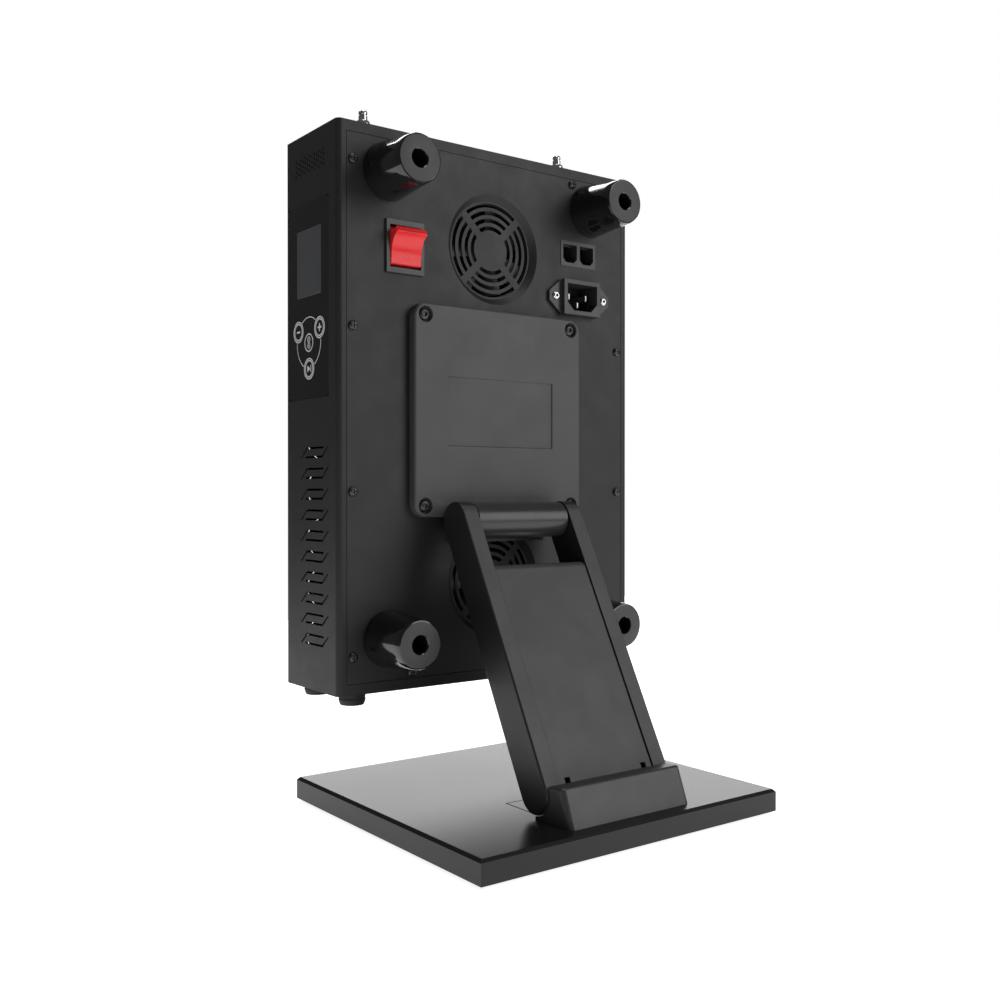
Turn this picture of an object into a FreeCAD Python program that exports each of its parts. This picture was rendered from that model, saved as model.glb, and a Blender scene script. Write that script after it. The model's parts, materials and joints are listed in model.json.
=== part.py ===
"""Table-top LED light-therapy panel on a folding two-hinge desk stand.

Frame: millimetres, +Z up, the lamp face looks along -Y, the control side is +X.
The origin is on the table, under the middle of the whole object's box.
"""
import FreeCAD, Part
import os
import re

import Sketcher

Vector = FreeCAD.Vector
Rotation = FreeCAD.Rotation
Placement = FreeCAD.Placement

doc = FreeCAD.newDocument("LightPanel")
sheet = doc.addObject("Spreadsheet::Sheet", "Sizes")
PIECES = []

# Driving dimensions in millimetres, angles in degrees.
DIMENSIONS = {
    # whole object and base
    "overall_depth": 191.5, "base_width": 206, "base_depth": 187, "base_thick": 12.5,
    "base_chamfer": 1.6, "pad_radius": 10, "pad_height": 1.5, "pad_inset": 18,
    "inlay_half": 38, "inlay_front": 27.75, "inlay_rear": 84, "inlay_thick": 3, "groove_width": 0.8,
    # stand: hinge axes run along X
    "lower_pivot_y": 58.75, "lower_pivot_z": 26.7, "arm_length": 157, "arm_lean": 27.5,
    "arm_radius": 11, "arm_inner": 33.2, "arm_outer": 43.4, "arm_edge": 1.2, "shaft_radius": 5,
    "shaft_half": 40.5, "running_gap": 0.05, "side_gap": 0.3, "cover_thick": 1.8,
    "cover_set_in": 0.9,
    "cover_rear_low": -0.4, "cover_front_low": 4, "cover_top": 125.6, "cover_lip": 6,
    "cover_round": 4.5, "notch_width": 3.3, "notch_height": 3.6, "notch_place": 27,
    "bar_low": 26, "bar_high": 112, "bar_height": 12, "barrel_radius": 10.5, "barrel_gap": 0.8,
    "web_drop": 7.3, "web_lip_drop": 13, "web_lip_thick": 5, "knuckle_radius": 8,
    "knuckle_half": 20, "cradle_radius": 11.6, "block_half": 42, "block_top": 33.6,
    "block_crest_front": 71.25, "block_crest_rear": 80, "block_foot": 87.4, "block_round": 2,
    "block_end_round": 3,
    "block_plinth": 4, "plinth_set_back": 1.5, "block_screw_y": 76, "block_screw_deep": 12,
    "block_head": 2,
    "washer_thick": 1.5, "washer_radius": 8,
    # panel housing
    "panel_width": 215, "panel_height": 317, "panel_depth": 63.5, "panel_lift": 70,
    "board_half": 92, "board_inset": 8, "board_thick": 1.6, "chip_size": 7, "chip_thick": 1.4,
    "lens_sunk": 0.5, "part_gap": 0.1, "sink_half": 90, "sink_inset": 10, "sink_web": 3,
    "fin_count": 13, "fin_pitch": 14, "fin_thick": 1.6, "fin_tall": 19,
    "driver_inner": 6, "driver_outer": 88, "driver_deep": 28, "driver_shallow": 5,
    "driver_low": 101, "driver_high": 213, "driver_round": 2,
    "control_in": 10, "control_thick": 1.6, "control_front": 56, "control_rear": 13,
    "control_low": 168, "control_high": 275, "display_in": 8.3, "display_edge_y": 1,
    "display_edge_z": 3, "wall_thick": 1.6, "bend_radius": 3, "rim_side": 5.5, "rim_end": 6,
    "flange_width": 8,
    "plate_thick": 1.5, "fit_gap": 0.3, "front_thick": 3,
    "lens_radius": 12.5, "lens_small": 9, "lens_depth": 9.2, "lens_pitch_x": 33,
    "lens_pitch_z": 29.5,
    "lens_columns": 6, "lens_rows": 10,
    # vents and controls on the side walls
    "vent_middle": 27.4, "vent_reach": 17.1, "vent_knee": 9.6, "vent_tail": 10.9,
    "vent_height": 6.3,
    "vent_slot": 1.2, "vent_pitch": 11.8, "vent_low": 25.5, "vent_count": 10,
    "grid_hole": 0.9, "grid_step": 2.8, "grid_row": 2.9, "grid_middle": 33, "grid_high": 299.5,
    "overlay_thick": 0.8, "overlay_rear": 10.4, "overlay_front": 59.4, "overlay_low": 165.5,
    "overlay_high": 277.7, "overlay_round": 3, "overlay_gap": 0.15,
    "grid_columns": 13, "grid_lines": 4, "window_rear": 19.2, "window_front": 49,
    "window_low": 224, "window_high": 262.8,
    # fans behind the rear grilles
    "fan_size": 60, "fan_depth": 15, "fan_bore": 27.8, "fan_x": 1.5,
    "fan_high": 258.3, "fan_low": 59.5,
    "grille_radius": 33, "grille_floor": 29.4, "grille_depth": 3.5, "grille_skin": 1.2,
    "slot_outer": 28.3, "slot_step": 4.55, "slot_width": 2.4, "spoke_half": 2.3,
    "rotor_radius": 27, "rotor_hub": 12, "rotor_depth": 10, "blade_thick": 1.4, "blade_pitch": 40,
    "bush_radius": 1.5, "fan_hub_thick": 2.5, "strut_thick": 2,
    "strut_width": 3, "rotor_gap": 1, "blade_half_chord": 5.5, "blade_count": 7,
    "fan_hole_half": 25,
    # rear fittings, heights above the panel's bottom edge
    "switch_x": 64.7, "switch_z": 251.2, "bezel_width": 25, "bezel_height": 30, "bezel_proud": 1.5,
    "switch_open_x": 20.6, "switch_open_z": 23.8, "switch_body_x": 24, "switch_body_z": 27,
    "switch_deep": 22, "rocker_width": 20, "rocker_axis": 4, "trunnion_radius": 1.5,
    "tab_step": 7, "tab_thick": 0.8, "tab_height": 4.8, "tab_length": 8, "switch_floor": 3,
    "inlet_x": -64.7, "inlet_z": 235.5, "inlet_width": 30, "inlet_height": 22, "inlet_proud": 5,
    "inlet_open_x": 24.2, "inlet_open_z": 16.6, "inlet_corner": 5, "inlet_deep": 19,
    "inlet_screws": 39.2, "ear_reach": 24.6, "ear_thick": 2, "pin_thick": 2, "pin_height": 4,
    "pin_length": 14, "pin_pitch": 7, "pin_outer_up": 1, "pin_earth_down": 4, "ear_tip_half": 3,
    "inlet_head": 2.6, "inlet_tall": 1.5, "inlet_shank": 8, "shroud_wall": 1.3, "jack_x": -65,
    "jack_z": 263.6, "jack_width": 29, "jack_height": 16.2,
    "jack_proud": 0.4, "jack_deep": 14, "jack_open": 11, "jack_open_z": 11.2, "jack_pitch": 13.7,
    "jack_corner": 2.4,
    "contact_pitch": 1.4, "contact_width": 0.5, "contact_thick": 0.8, "contact_set_in": 3,
    "jack_floor": 2, "jack_lip": 1.2,
    "standoff_x": 75, "standoff_high": 292.5, "standoff_low": 29.7, "standoff_base": 16.5,
    "standoff_end": 13.5, "standoff_length": 33, "standoff_bore": 5, "standoff_floor": 7,
    "screw_sunk": 2.6,
    "mount_width": 123, "mount_height": 122.5, "mount_thick": 6, "mount_low": 98, "mount_round": 8,
    "mount_screw_x": 54, "mount_screw_z": 54.8, "mount_recess_x": 78, "mount_recess_z": 40,
    "mount_recess_deep": 0.8, "mount_chamfer": 0.8, "mount_shank": 7, "counterbore_radius": 4.6,
    "counterbore_deep": 3,
    "screw_side_x": 98, "screw_end_x": 60, "screw_end_z": 9.5,
    "small_shank": 1.5, "small_head": 2.75, "small_tall": 1.7, "plate_shank": 2, "plate_head": 3.6,
    "plate_tall": 2.4, "small_length": 6,
    "side_screw_low": 21, "side_screw_step": 91.67, "anchor_length": 4,
    # feet and hangers of the panel
    "foot_radius": 8, "foot_height": 7, "foot_x": 92, "foot_rear": 12, "foot_front": 54,
    "hanger_x": 73.5, "hanger_y": 31.75, "hanger_radius": 4.25, "hanger_tall": 12.5,
    "hanger_stud": 3.5, "hanger_stud_deep": 10, "plunger_radius": 2.6, "plunger_out": 6.5,
    "plunger_deep": 12, "nut_radius": 6, "nut_height": 3.5,
}
for row, (alias, value) in enumerate(DIMENSIONS.items(), start=1):
    sheet.set(f"A{row}", alias)
    sheet.set(f"B{row}", str(value))
    sheet.setAlias(f"B{row}", alias)
doc.recompute()

# Places that several sub-parts share, as expressions on the sheet.
BASE_REAR = "overall_depth / 2"
BASE_TOP = "(pad_height + base_thick)"
FRONT = "(-overall_depth / 2)"
BACK = "(panel_depth - overall_depth / 2)"
BOTTOM = "panel_lift"
TOP = "(panel_lift + panel_height)"
INSIDE_X = "(panel_width / 2 - wall_thick)"
UPPER_Y = "(lower_pivot_y - arm_length * sin(arm_lean * 1 deg))"
UPPER_Z = "(lower_pivot_z + arm_length * cos(arm_lean * 1 deg))"
FAN_REAR = f"({BACK} - grille_depth - grille_skin - fit_gap)"
SIDES = ((1, "left"), (-1, "right"))
# The rocker's outline as (outwards, up) from its trunnions: root, hollow face, tip and underside.
ROCKER_PROFILE = [(5.9, -10.1), (6.4, -4), (7.2, 0), (9.2, 4), (13.2, 6.8), (11.4, 10), (9.9, 8.7),
                  (5.5, 9.6), (3, 11.2), (-3, 9.5), (-3, -9.5), (1, -11.2)]
BLOCK_SCREWS = [(f"{across} * block_half", "block_screw_y")
                for across in (0.75, 0.28, -0.28, -0.75)]


def link(text):
    """Every word with an underscore is an alias of the sheet."""
    return re.sub(r"\b([a-z]+(?:_[a-z]+)+)\b", r"Sizes.\1", str(text))


def size(text):
    """The present value of an expression, in millimetres."""
    return float(sheet.evalExpression(link(text)))


def place(thing, at, turn=None):
    if turn:
        thing.Placement = Placement(Vector(), turn)
    for axis, text in zip("xyz", at):
        thing.setExpression(f"Placement.Base.{axis}", link(text))
    return thing


def keep(label, thing):
    """Registers a finished sub-part under the name of its file."""
    thing.Label = label
    PIECES.append(thing)
    return thing


# ---- primitives and booleans -------------------------------------------------------------

TURNS = {"X": Rotation(Vector(0, 0, 1), Vector(1, 0, 0)),
         "Y": Rotation(Vector(0, 0, 1), Vector(0, 1, 0)),
         "Z": Rotation()}


def box(x, y, z):
    """A box from three pairs of low and high expressions."""
    solid = doc.addObject("Part::Box", "Block")
    for side, (low, high) in zip(("Length", "Width", "Height"), (x, y, z)):
        solid.setExpression(side, link(f"({high}) - ({low})"))
    return place(solid, (x[0], y[0], z[0]))


def centred(middle, whole):
    return f"{middle} - ({whole}) / 2", f"{middle} + ({whole}) / 2"


def rod(radius, length, at, axis="Z"):
    solid = doc.addObject("Part::Cylinder", "Rod")
    solid.setExpression("Radius", link(radius))
    solid.setExpression("Height", link(length))
    return place(solid, at, TURNS[axis])


def taper(low_radius, high_radius, length, at, axis="Z"):
    solid = doc.addObject("Part::Cone", "Taper")
    solid.setExpression("Radius1", link(low_radius))
    solid.setExpression("Radius2", link(high_radius))
    solid.setExpression("Height", link(length))
    return place(solid, at, TURNS[axis])


def fused(solids):
    joint = doc.addObject("Part::MultiFuse", "Fusion")
    joint.Shapes = solids
    joint.Refine = True
    return joint


def minus(solid, tools):
    result = doc.addObject("Part::Cut", "Difference")
    result.Base = solid
    result.Tool = fused(tools) if len(tools) > 1 else tools[0]
    return result


def common(solid, tool):
    result = doc.addObject("Part::Common", "Overlap")
    result.Base = solid
    result.Tool = tool
    return result


def together(solids):
    """Separate solids that share one node."""
    group = doc.addObject("Part::Compound", "Group")
    group.Links = solids
    return group


def rounded(solid, radius, chosen):
    """Rounds the edges for which chosen(edge) is true."""
    doc.recompute()
    result = doc.addObject("Part::Fillet", "Rounding")
    result.Base = solid
    value = size(radius)
    result.Edges = [(number, value, value)
                    for number, edge in enumerate(solid.Shape.Edges, start=1) if chosen(edge)]
    return result


def runs_along(axis):
    """True for straight edges along an axis of the frame."""
    def chosen(edge):
        if not isinstance(edge.Curve, Part.Line):
            return False
        return abs(getattr(edge.tangentAt(edge.FirstParameter), axis)) > 0.999
    return chosen


def screw(at, axis, head_radius, head_height, shank_radius, shank_length):
    """A pan-head screw seated at a point, its head on the positive side of an axis."""
    spot = "XYZ".index(axis)
    sunk = list(at)
    sunk[spot] = f"{at[spot]} - ({shank_length})"
    drive_from = f"{at[spot]} + ({head_height}) / 3"
    drive_to = f"{at[spot]} + 2 * ({head_height})"
    head = taper(head_radius, f"0.75 * ({head_radius})", head_height, at, axis)
    shank = rod(shank_radius, shank_length, sunk, axis)
    slots = []
    for wide, narrow in ((0.55, 0.12), (0.12, 0.55)):
        spans = []
        halves = iter((wide, narrow))
        for index in range(3):
            if index == spot:
                spans.append((drive_from, drive_to))
            else:
                spans.append(centred(at[index], f"2 * {next(halves)} * ({head_radius})"))
        slots.append(box(*spans))
    return minus(fused([head, shank]), slots)


# ---- bodies with sketches ----------------------------------------------------------------

NORMALS = {"XY_Plane": 1, "XZ_Plane": -1, "YZ_Plane": 1}


def body(label):
    return keep(label, doc.addObject("PartDesign::Body", label))


def sketch(owner, role, height, outlines):
    """A sketch on a plane parallel to an origin plane, at a coordinate along its axis.

    An outline is a list of corner points, or ("circle", x, y, radius).
    """
    plane = next(item for item in owner.Origin.OriginFeatures if item.Role == role)
    drawing = owner.newObject("Sketcher::SketchObject", "Sketch")
    drawing.AttachmentSupport = [(plane, "")]
    drawing.MapMode = "FlatFace"
    drawing.setExpression("AttachmentOffset.Base.z", link(f"{NORMALS[role]} * ({height})"))
    for outline in outlines:
        if outline[0] == "circle":
            add_circle(drawing, *outline[1:])
        else:
            add_polygon(drawing, outline)
    return drawing


def pin_down(drawing, kind, geometry, point, text):
    index = drawing.addConstraint(Sketcher.Constraint(kind, -1, 1, geometry, point, size(text)))
    drawing.setExpression(f"Constraints[{index}]", link(text))


def add_circle(drawing, x, y, radius):
    circle = Part.Circle(Vector(size(x), size(y), 0), Vector(0, 0, 1), size(radius))
    number = drawing.addGeometry(circle, False)
    index = drawing.addConstraint(Sketcher.Constraint("Radius", number, size(radius)))
    drawing.setExpression(f"Constraints[{index}]", link(radius))
    pin_down(drawing, "DistanceX", number, 3, x)
    pin_down(drawing, "DistanceY", number, 3, y)


def add_polygon(drawing, points):
    corners = [Vector(size(x), size(y), 0) for x, y in points]
    first = drawing.GeometryCount
    count = len(corners)
    for index in range(count):
        line = Part.LineSegment(corners[index], corners[(index + 1) % count])
        drawing.addGeometry(line, False)
    for index in range(count):
        following = first + (index + 1) % count
        drawing.addConstraint(Sketcher.Constraint("Coincident", first + index, 2, following, 1))
    for index, (x, y) in enumerate(points):
        pin_down(drawing, "DistanceX", first + index, 1, x)
        pin_down(drawing, "DistanceY", first + index, 1, y)


def rectangle(x, y):
    return [(x[0], y[0]), (x[1], y[0]), (x[1], y[1]), (x[0], y[1])]


def pad(owner, drawing, length, backwards=False, symmetric=False):
    feature = owner.newObject("PartDesign::Pad", "Pad")
    feature.Profile = drawing
    feature.setExpression("Length", link(length))
    feature.Reversed = backwards
    if symmetric:
        feature.SideType = "Symmetric"
    doc.recompute()
    return feature


def pocket(owner, drawing, depth=None, backwards=False):
    """Cuts a sketch, through everything both ways when there is no depth."""
    before = owner.Shape.Volume
    feature = owner.newObject("PartDesign::Pocket", "Pocket")
    feature.Profile = drawing
    feature.Reversed = backwards
    if depth is None:
        feature.Type = "ThroughAll"
        feature.SideType = "Symmetric"
    else:
        feature.setExpression("Length", link(depth))
    doc.recompute()
    if not feature.Shape.Volume < before:
        raise ValueError(f"a pocket of {owner.Label} cuts nothing")
    return feature


def dress(owner, kind, amount, chosen):
    """A Fillet or Chamfer on the edges of the body's tip that pass a test."""
    tip = owner.Tip
    names = [f"Edge{number}" for number, edge in enumerate(tip.Shape.Edges, start=1)
             if chosen(edge)]
    feature = owner.newObject(f"PartDesign::{kind}", kind)
    feature.Base = (tip, names)
    feature.setExpression("Radius" if kind == "Fillet" else "Size", link(amount))
    doc.recompute()
    return feature


def lies_at(axis, text):
    """True for edges that lie wholly at one coordinate."""
    value = size(text)
    low, high = axis + "Min", axis + "Max"

    def chosen(edge):
        bounds = edge.BoundBox
        return (abs(getattr(bounds, low) - value) < 0.01
                and abs(getattr(bounds, high) - value) < 0.01)
    return chosen


# ---- base --------------------------------------------------------------------------------

def base_plate():
    plate = body("base_plate")
    outline = rectangle(centred("0", "base_width"), (f"{BASE_REAR} - base_depth", BASE_REAR))
    pad(plate, sketch(plate, "XY_Plane", "pad_height", [outline]), "base_thick")
    dress(plate, "Chamfer", "base_chamfer", lies_at("Z", BASE_TOP))
    seat = rectangle(("-inlay_half", "inlay_half"), ("inlay_front", "inlay_rear"))
    pocket(plate, sketch(plate, "XY_Plane", BASE_TOP, [seat]), "inlay_thick")
    holes = [("circle", x, y, "plate_shank + running_gap") for x, y in BLOCK_SCREWS]
    pocket(plate, sketch(plate, "XY_Plane", BASE_TOP, holes), "base_thick")
    seats = [("circle", x, y, "plate_head + running_gap") for x, y in BLOCK_SCREWS]
    pocket(plate, sketch(plate, "XY_Plane", "pad_height", seats), "block_head", backwards=True)


def base_inlay():
    """A flush plate let into the base, with a fine groove all round it."""
    inset = "inlay_half - groove_width"
    plate = body("base_inlay")
    outline = rectangle((f"-({inset})", inset),
                        ("inlay_front + groove_width", "inlay_rear - groove_width"))
    pad(plate, sketch(plate, "XY_Plane", f"{BASE_TOP} - inlay_thick", [outline]), "inlay_thick")
    holes = [("circle", x, y, "plate_shank + running_gap") for x, y in BLOCK_SCREWS]
    pocket(plate, sketch(plate, "XY_Plane", BASE_TOP, holes), "inlay_thick")


def base_feet():
    across = "(base_width / 2 - pad_inset)"
    near = f"{BASE_REAR} - base_depth + pad_inset"
    far = f"{BASE_REAR} - pad_inset"
    spots = [(f"{sign} * {across}", y) for sign in (1, -1) for y in (near, far)]
    keep("base_feet", together([rod("pad_radius", "pad_height", (x, y, "0")) for x, y in spots]))


def hinge_block():
    """Rear stop and knuckle: the arms' round ends turn in its cradle."""
    block = body("hinge_block")
    profile = [("lower_pivot_y", BASE_TOP), ("lower_pivot_y", "block_top - 3"),
               ("block_crest_front", "block_top - 0.6"), ("block_crest_rear", "block_top"),
               ("block_foot - plinth_set_back", f"{BASE_TOP} + block_plinth"),
               ("block_foot", BASE_TOP)]
    pad(block, sketch(block, "YZ_Plane", "0", [profile]), "2 * block_half", symmetric=True)
    cradle = ("circle", "lower_pivot_y", "lower_pivot_z", "cradle_radius")
    pocket(block, sketch(block, "YZ_Plane", "0", [cradle]))
    relief = [("lower_pivot_y - 1", "block_top + 9"), ("lower_pivot_y + 1", "block_top + 9"),
              ("lower_pivot_y + 12.9", "block_top - 0.3"), ("lower_pivot_y", "lower_pivot_z")]
    pocket(block, sketch(block, "YZ_Plane", "0", [relief]))
    dress(block, "Fillet", "block_end_round", rear_end_edge)
    dress(block, "Fillet", "block_round", rear_crest_edge)
    neck = rectangle(("lower_pivot_y - knuckle_radius + 1", "lower_pivot_y + cradle_radius + 1"),
                     (BASE_TOP, "lower_pivot_z - knuckle_radius / 2"))
    pad(block, sketch(block, "YZ_Plane", "0", [neck]), "2 * knuckle_half", symmetric=True)
    knuckle = ("circle", "lower_pivot_y", "lower_pivot_z", "knuckle_radius")
    pad(block, sketch(block, "YZ_Plane", "0", [knuckle]), "2 * knuckle_half", symmetric=True)
    bore = ("circle", "lower_pivot_y", "lower_pivot_z", "shaft_radius")
    pocket(block, sketch(block, "YZ_Plane", "0", [bore]))
    holes = [("circle", x, y, "plate_shank") for x, y in BLOCK_SCREWS]
    pocket(block, sketch(block, "XY_Plane", BASE_TOP, holes), "block_screw_deep", backwards=True)


def rear_crest_edge(edge):
    """The block's long top rear edge."""
    bounds = edge.BoundBox
    return (bounds.XLength > size("block_half")
            and abs(bounds.YMax - size("block_crest_rear")) < 0.01
            and abs(bounds.ZMax - size("block_top")) < 0.01)


def rear_end_edge(edge):
    """The sloping edges where the block's rear face meets its two ends."""
    bounds = edge.BoundBox
    return (bounds.XLength < 0.01 and abs(bounds.ZMax - size("block_top")) < 0.01
            and bounds.YMin > size("block_crest_rear") - 0.01)


def block_screws():
    """Countersunk screws that come up through the base into the block."""
    screws = []
    for x, y in BLOCK_SCREWS:
        head = rod("plate_head", "block_head", (x, y, "pad_height"))
        shank = rod("plate_shank - running_gap", "base_thick + 0.7 * block_screw_deep",
                    (x, y, "pad_height"))
        socket = rod("plate_shank / 2", "0.6 * block_head", (x, y, "pad_height"))
        screws.append(minus(fused([head, shank]), [socket]))
    keep("block_screws", together(screws))


def lower_hinge_shaft():
    at = ("-shaft_half + 1", "lower_pivot_y", "lower_pivot_z")
    keep("lower_hinge_shaft", rod("shaft_radius", "2 * shaft_half - 2", at, "X"))


# ---- stand arm, drawn upright from the lower pivot and then leaned ------------------------

def lean(thing):
    """Stands a piece drawn in the arm's own frame on the lower pivot."""
    turn = Rotation(Vector(1, 0, 0), size("arm_lean"))
    return place(thing, ("0", "lower_pivot_y", "lower_pivot_z"), turn)


def arm(sign, side):
    """A side plate with round ends and blind holes for both shafts."""
    plate = body(f"arm_{side}")
    inner = f"{sign} * arm_inner"
    outer = f"{sign} * arm_outer"
    back = sign < 0
    flat = rectangle(("-arm_radius", "arm_radius"), ("0", "arm_length"))
    ends = [("circle", "0", z, "arm_radius") for z in ("0", "arm_length")]
    thick = "arm_outer - arm_inner"
    pad(plate, sketch(plate, "YZ_Plane", inner, [flat]), thick, backwards=back)
    for end in ends:
        pad(plate, sketch(plate, "YZ_Plane", inner, [end]), thick, backwards=back)
    dress(plate, "Fillet", "arm_edge", lies_at("X", outer))
    bores = {"0": "shaft_radius + running_gap", "arm_length": "shaft_radius"}
    for height, radius in bores.items():
        hole = ("circle", "0", height, radius)
        drawing = sketch(plate, "YZ_Plane", inner, [hole])
        pocket(plate, drawing, "shaft_half - arm_inner + side_gap", backwards=not back)
    lean(plate)


def arm_cover(side, sign):
    """A flat cover between the arms with a rolled top edge; the rear one has two notches."""
    cover = body(f"arm_cover_{side}")
    face = "(arm_radius - cover_set_in)"
    inside = "arm_inner - side_gap"
    low = f"cover_{side}_low"
    outline = rectangle((f"-({inside})", inside), (low, "cover_top"))
    pad(cover, sketch(cover, "XZ_Plane", f"{sign} * {face}", [outline]), "cover_thick",
        backwards=sign < 0)
    lip = rectangle((f"-({inside})", inside), ("cover_top - cover_lip", "cover_top"))
    pad(cover, sketch(cover, "XZ_Plane", f"{sign} * {face}", [lip]), "cover_lip",
        backwards=sign < 0)
    dress(cover, "Fillet", "cover_round",
          lambda edge: lies_at("Z", "cover_top")(edge) and lies_at("Y", f"{sign} * {face}")(edge))
    if side == "rear":
        notches = [rectangle(centred(f"{way} * notch_place", "notch_width"),
                             (low, f"{low} + notch_height")) for way in (1, -1)]
        pocket(cover, sketch(cover, "XZ_Plane", "0", notches))
    lean(cover)


def arm_crossbars():
    """Two bars that tie the arms together behind the covers."""
    deep = "(arm_radius - cover_set_in - cover_thick)"
    bars = []
    for middle in ("bar_low", "bar_high"):
        bars.append(box(("-arm_inner", "arm_inner"), (f"-{deep}", deep),
                        centred(middle, "bar_height")))
    keep("arm_crossbars", lean(together(bars)))


def upper_hinge_shaft():
    at = ("-shaft_half", UPPER_Y, UPPER_Z)
    keep("upper_hinge_shaft", rod("shaft_radius", "2 * shaft_half", at, "X"))


def hinge_washers():
    """Friction washers between the knuckle and the arms, held by the arms."""
    washers = []
    for sign in (1, -1):
        start = "arm_inner - washer_thick" if sign > 0 else "-arm_inner"
        at = (start, "lower_pivot_y", "lower_pivot_z")
        disc = rod("washer_radius", "washer_thick", at, "X")
        hole = rod("shaft_radius + running_gap", "washer_thick", at, "X")
        washers.append(minus(disc, [hole]))
    keep("hinge_washers", together(washers))


# ---- panel housing -----------------------------------------------------------------------

def vent_slots():
    """One vent cell: an angled slot and the same slot turned half round, as (y, z) points."""
    middle_y = f"({BACK} - vent_middle)"
    low = f"({BOTTOM} + vent_low)"
    half = "vent_height / 2"
    middle_z = f"({low} + {half})"
    outline = [("-vent_reach", f"-{half}"), ("-vent_knee", half), ("vent_tail", half),
               ("vent_tail", f"{half} - vent_slot"), ("-vent_knee + 0.5 * vent_slot",
                                                      f"{half} - vent_slot"),
               ("-vent_reach + 1.3 * vent_slot", f"-{half}")]
    upper = [(f"{middle_y} + {y}", f"{middle_z} + {z}") for y, z in outline]
    lower = [(f"{middle_y} - ({y})", f"{middle_z} - ({z})") for y, z in outline]
    return [upper, lower]


def grid_holes():
    """Staggered columns of fine holes near the top of the control side, as circles in (y, z)."""
    holes = []
    columns = int(size("grid_columns"))
    for column in range(columns):
        lines = int(size("grid_lines")) - column % 2
        y = f"{BACK} - grid_middle + {column - (columns - 1) / 2} * grid_step"
        for line in range(lines):
            z = f"{BOTTOM} + grid_high + {line - (lines - 1) / 2} * grid_row"
            holes.append(("circle", y, z, "grid_hole"))
    return holes


def housing_shell():
    """Folded sheet-metal case: four walls, a rear rim and a flange that carries the back plate."""
    case = body("housing_shell")
    outer = rectangle(centred("0", "panel_width"), (BOTTOM, TOP))
    pad(case, sketch(case, "XZ_Plane", BACK, [outer]), "panel_depth")
    dress(case, "Fillet", "bend_radius", runs_along("z"))
    inner = rectangle((f"-{INSIDE_X}", INSIDE_X), (f"{BOTTOM} + wall_thick", f"{TOP} - wall_thick"))
    hollow = sketch(case, "XZ_Plane", FRONT, [inner])
    pocket(case, hollow, "panel_depth - 2 * plate_thick")
    seat_x = "(panel_width / 2 - rim_side)"
    seat = rectangle((f"-{seat_x}", seat_x), (f"{BOTTOM} + rim_end", f"{TOP} - rim_end"))
    pocket(case, sketch(case, "XZ_Plane", BACK, [seat]), "plate_thick", backwards=True)
    mouth_x = "(panel_width / 2 - rim_side - flange_width)"
    ends = "rim_end + flange_width"
    mouth = rectangle((f"-{mouth_x}", mouth_x), (f"{BOTTOM} + {ends}", f"{TOP} - ({ends})"))
    pocket(case, sketch(case, "XZ_Plane", BACK, [mouth]), "3 * plate_thick", backwards=True)
    holes = [("circle", x, z, "small_shank") for x, z in plate_screw_spots()]
    pocket(case, sketch(case, "XZ_Plane", BACK, holes), "3 * plate_thick", backwards=True)
    overlay = rectangle((f"{BACK} - overlay_front", f"{BACK} - overlay_rear"),
                        (f"{BOTTOM} + overlay_low", f"{BOTTOM} + overlay_high"))
    pocket(case, sketch(case, "YZ_Plane", "panel_width / 2", [overlay]), "overlay_thick")
    pocket(case, sketch(case, "YZ_Plane", "panel_width / 2", [window_outline("1")]), "wall_thick")
    pocket(case, sketch(case, "YZ_Plane", "panel_width / 2", grid_holes()), "2 * wall_thick")
    for sign, side in SIDES:
        hanger = ("circle", f"{sign} * hanger_x", f"{BACK} - hanger_y", "hanger_stud")
        pocket(case, sketch(case, "XY_Plane", TOP, [hanger]), "2 * wall_thick")
    vents = sketch(case, "YZ_Plane", "0", vent_slots())
    first = pocket(case, vents)
    row = case.newObject("PartDesign::LinearPattern", "LinearPattern")
    row.Originals = [first]
    row.Direction = (vents, ["V_Axis"])
    row.setExpression("Length", link("vent_pitch * (vent_count - 1)"))
    row.Occurrences = int(size("vent_count"))
    case.Tip = row


def window_outline(inset):
    """The display window in the control side, as (y, z) points."""
    return rectangle((f"{BACK} - window_front + {inset}", f"{BACK} - window_rear - {inset}"),
                     (f"{BOTTOM} + window_low + {inset}", f"{BOTTOM} + window_high - {inset}"))


def plate_screw_spots():
    """The twelve screws round the back plate, as (x, z) points."""
    spots = []
    for sign in (1, -1):
        for step in range(4):
            spots.append((f"{sign} * screw_side_x",
                          f"{BOTTOM} + side_screw_low + {step} * side_screw_step"))
        for height in (f"{BOTTOM} + screw_end_z", f"{TOP} - screw_end_z"):
            spots.append((f"{sign} * screw_end_x", height))
    return spots


def standoff_spots():
    """Corner name and (x, z) of each rear standoff."""
    levels = (("upper", "standoff_high"), ("lower", "standoff_low"))
    return [(f"{level}_{side}", f"{sign} * standoff_x", f"({BOTTOM} + {height})")
            for sign, side in SIDES for level, height in levels]


def fan_places():
    return (("upper", f"({BOTTOM} + fan_high)"), ("lower", f"({BOTTOM} + fan_low)"))


def grille_slots(middle_z):
    """Four rings of slots through the grille's floor, parted by two diagonal spokes."""
    depth = "4 * grille_skin"
    at = ("fan_x", f"{BACK} - grille_depth - 3 * grille_skin", middle_z)
    rings = []
    for ring in range(4):
        outer = f"(slot_outer - {ring} * slot_step)"
        rings.append(minus(rod(outer, depth, at, "Y"),
                           [rod(f"{outer} - slot_width", depth, at, "Y")]))
    spokes = []
    for angle in (45, -45):
        bar = box(("-grille_radius", "grille_radius"), ("-grille_radius", "grille_radius"),
                  ("-spoke_half", "spoke_half"))
        spoke = fused([bar, box(("-1", "1"), ("-1", "1"), ("-1", "1"))])
        place(spoke, ("fan_x", BACK, middle_z), Rotation(Vector(0, 1, 0), angle))
        spokes.append(spoke)
    return minus(fused(rings), spokes)


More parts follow.
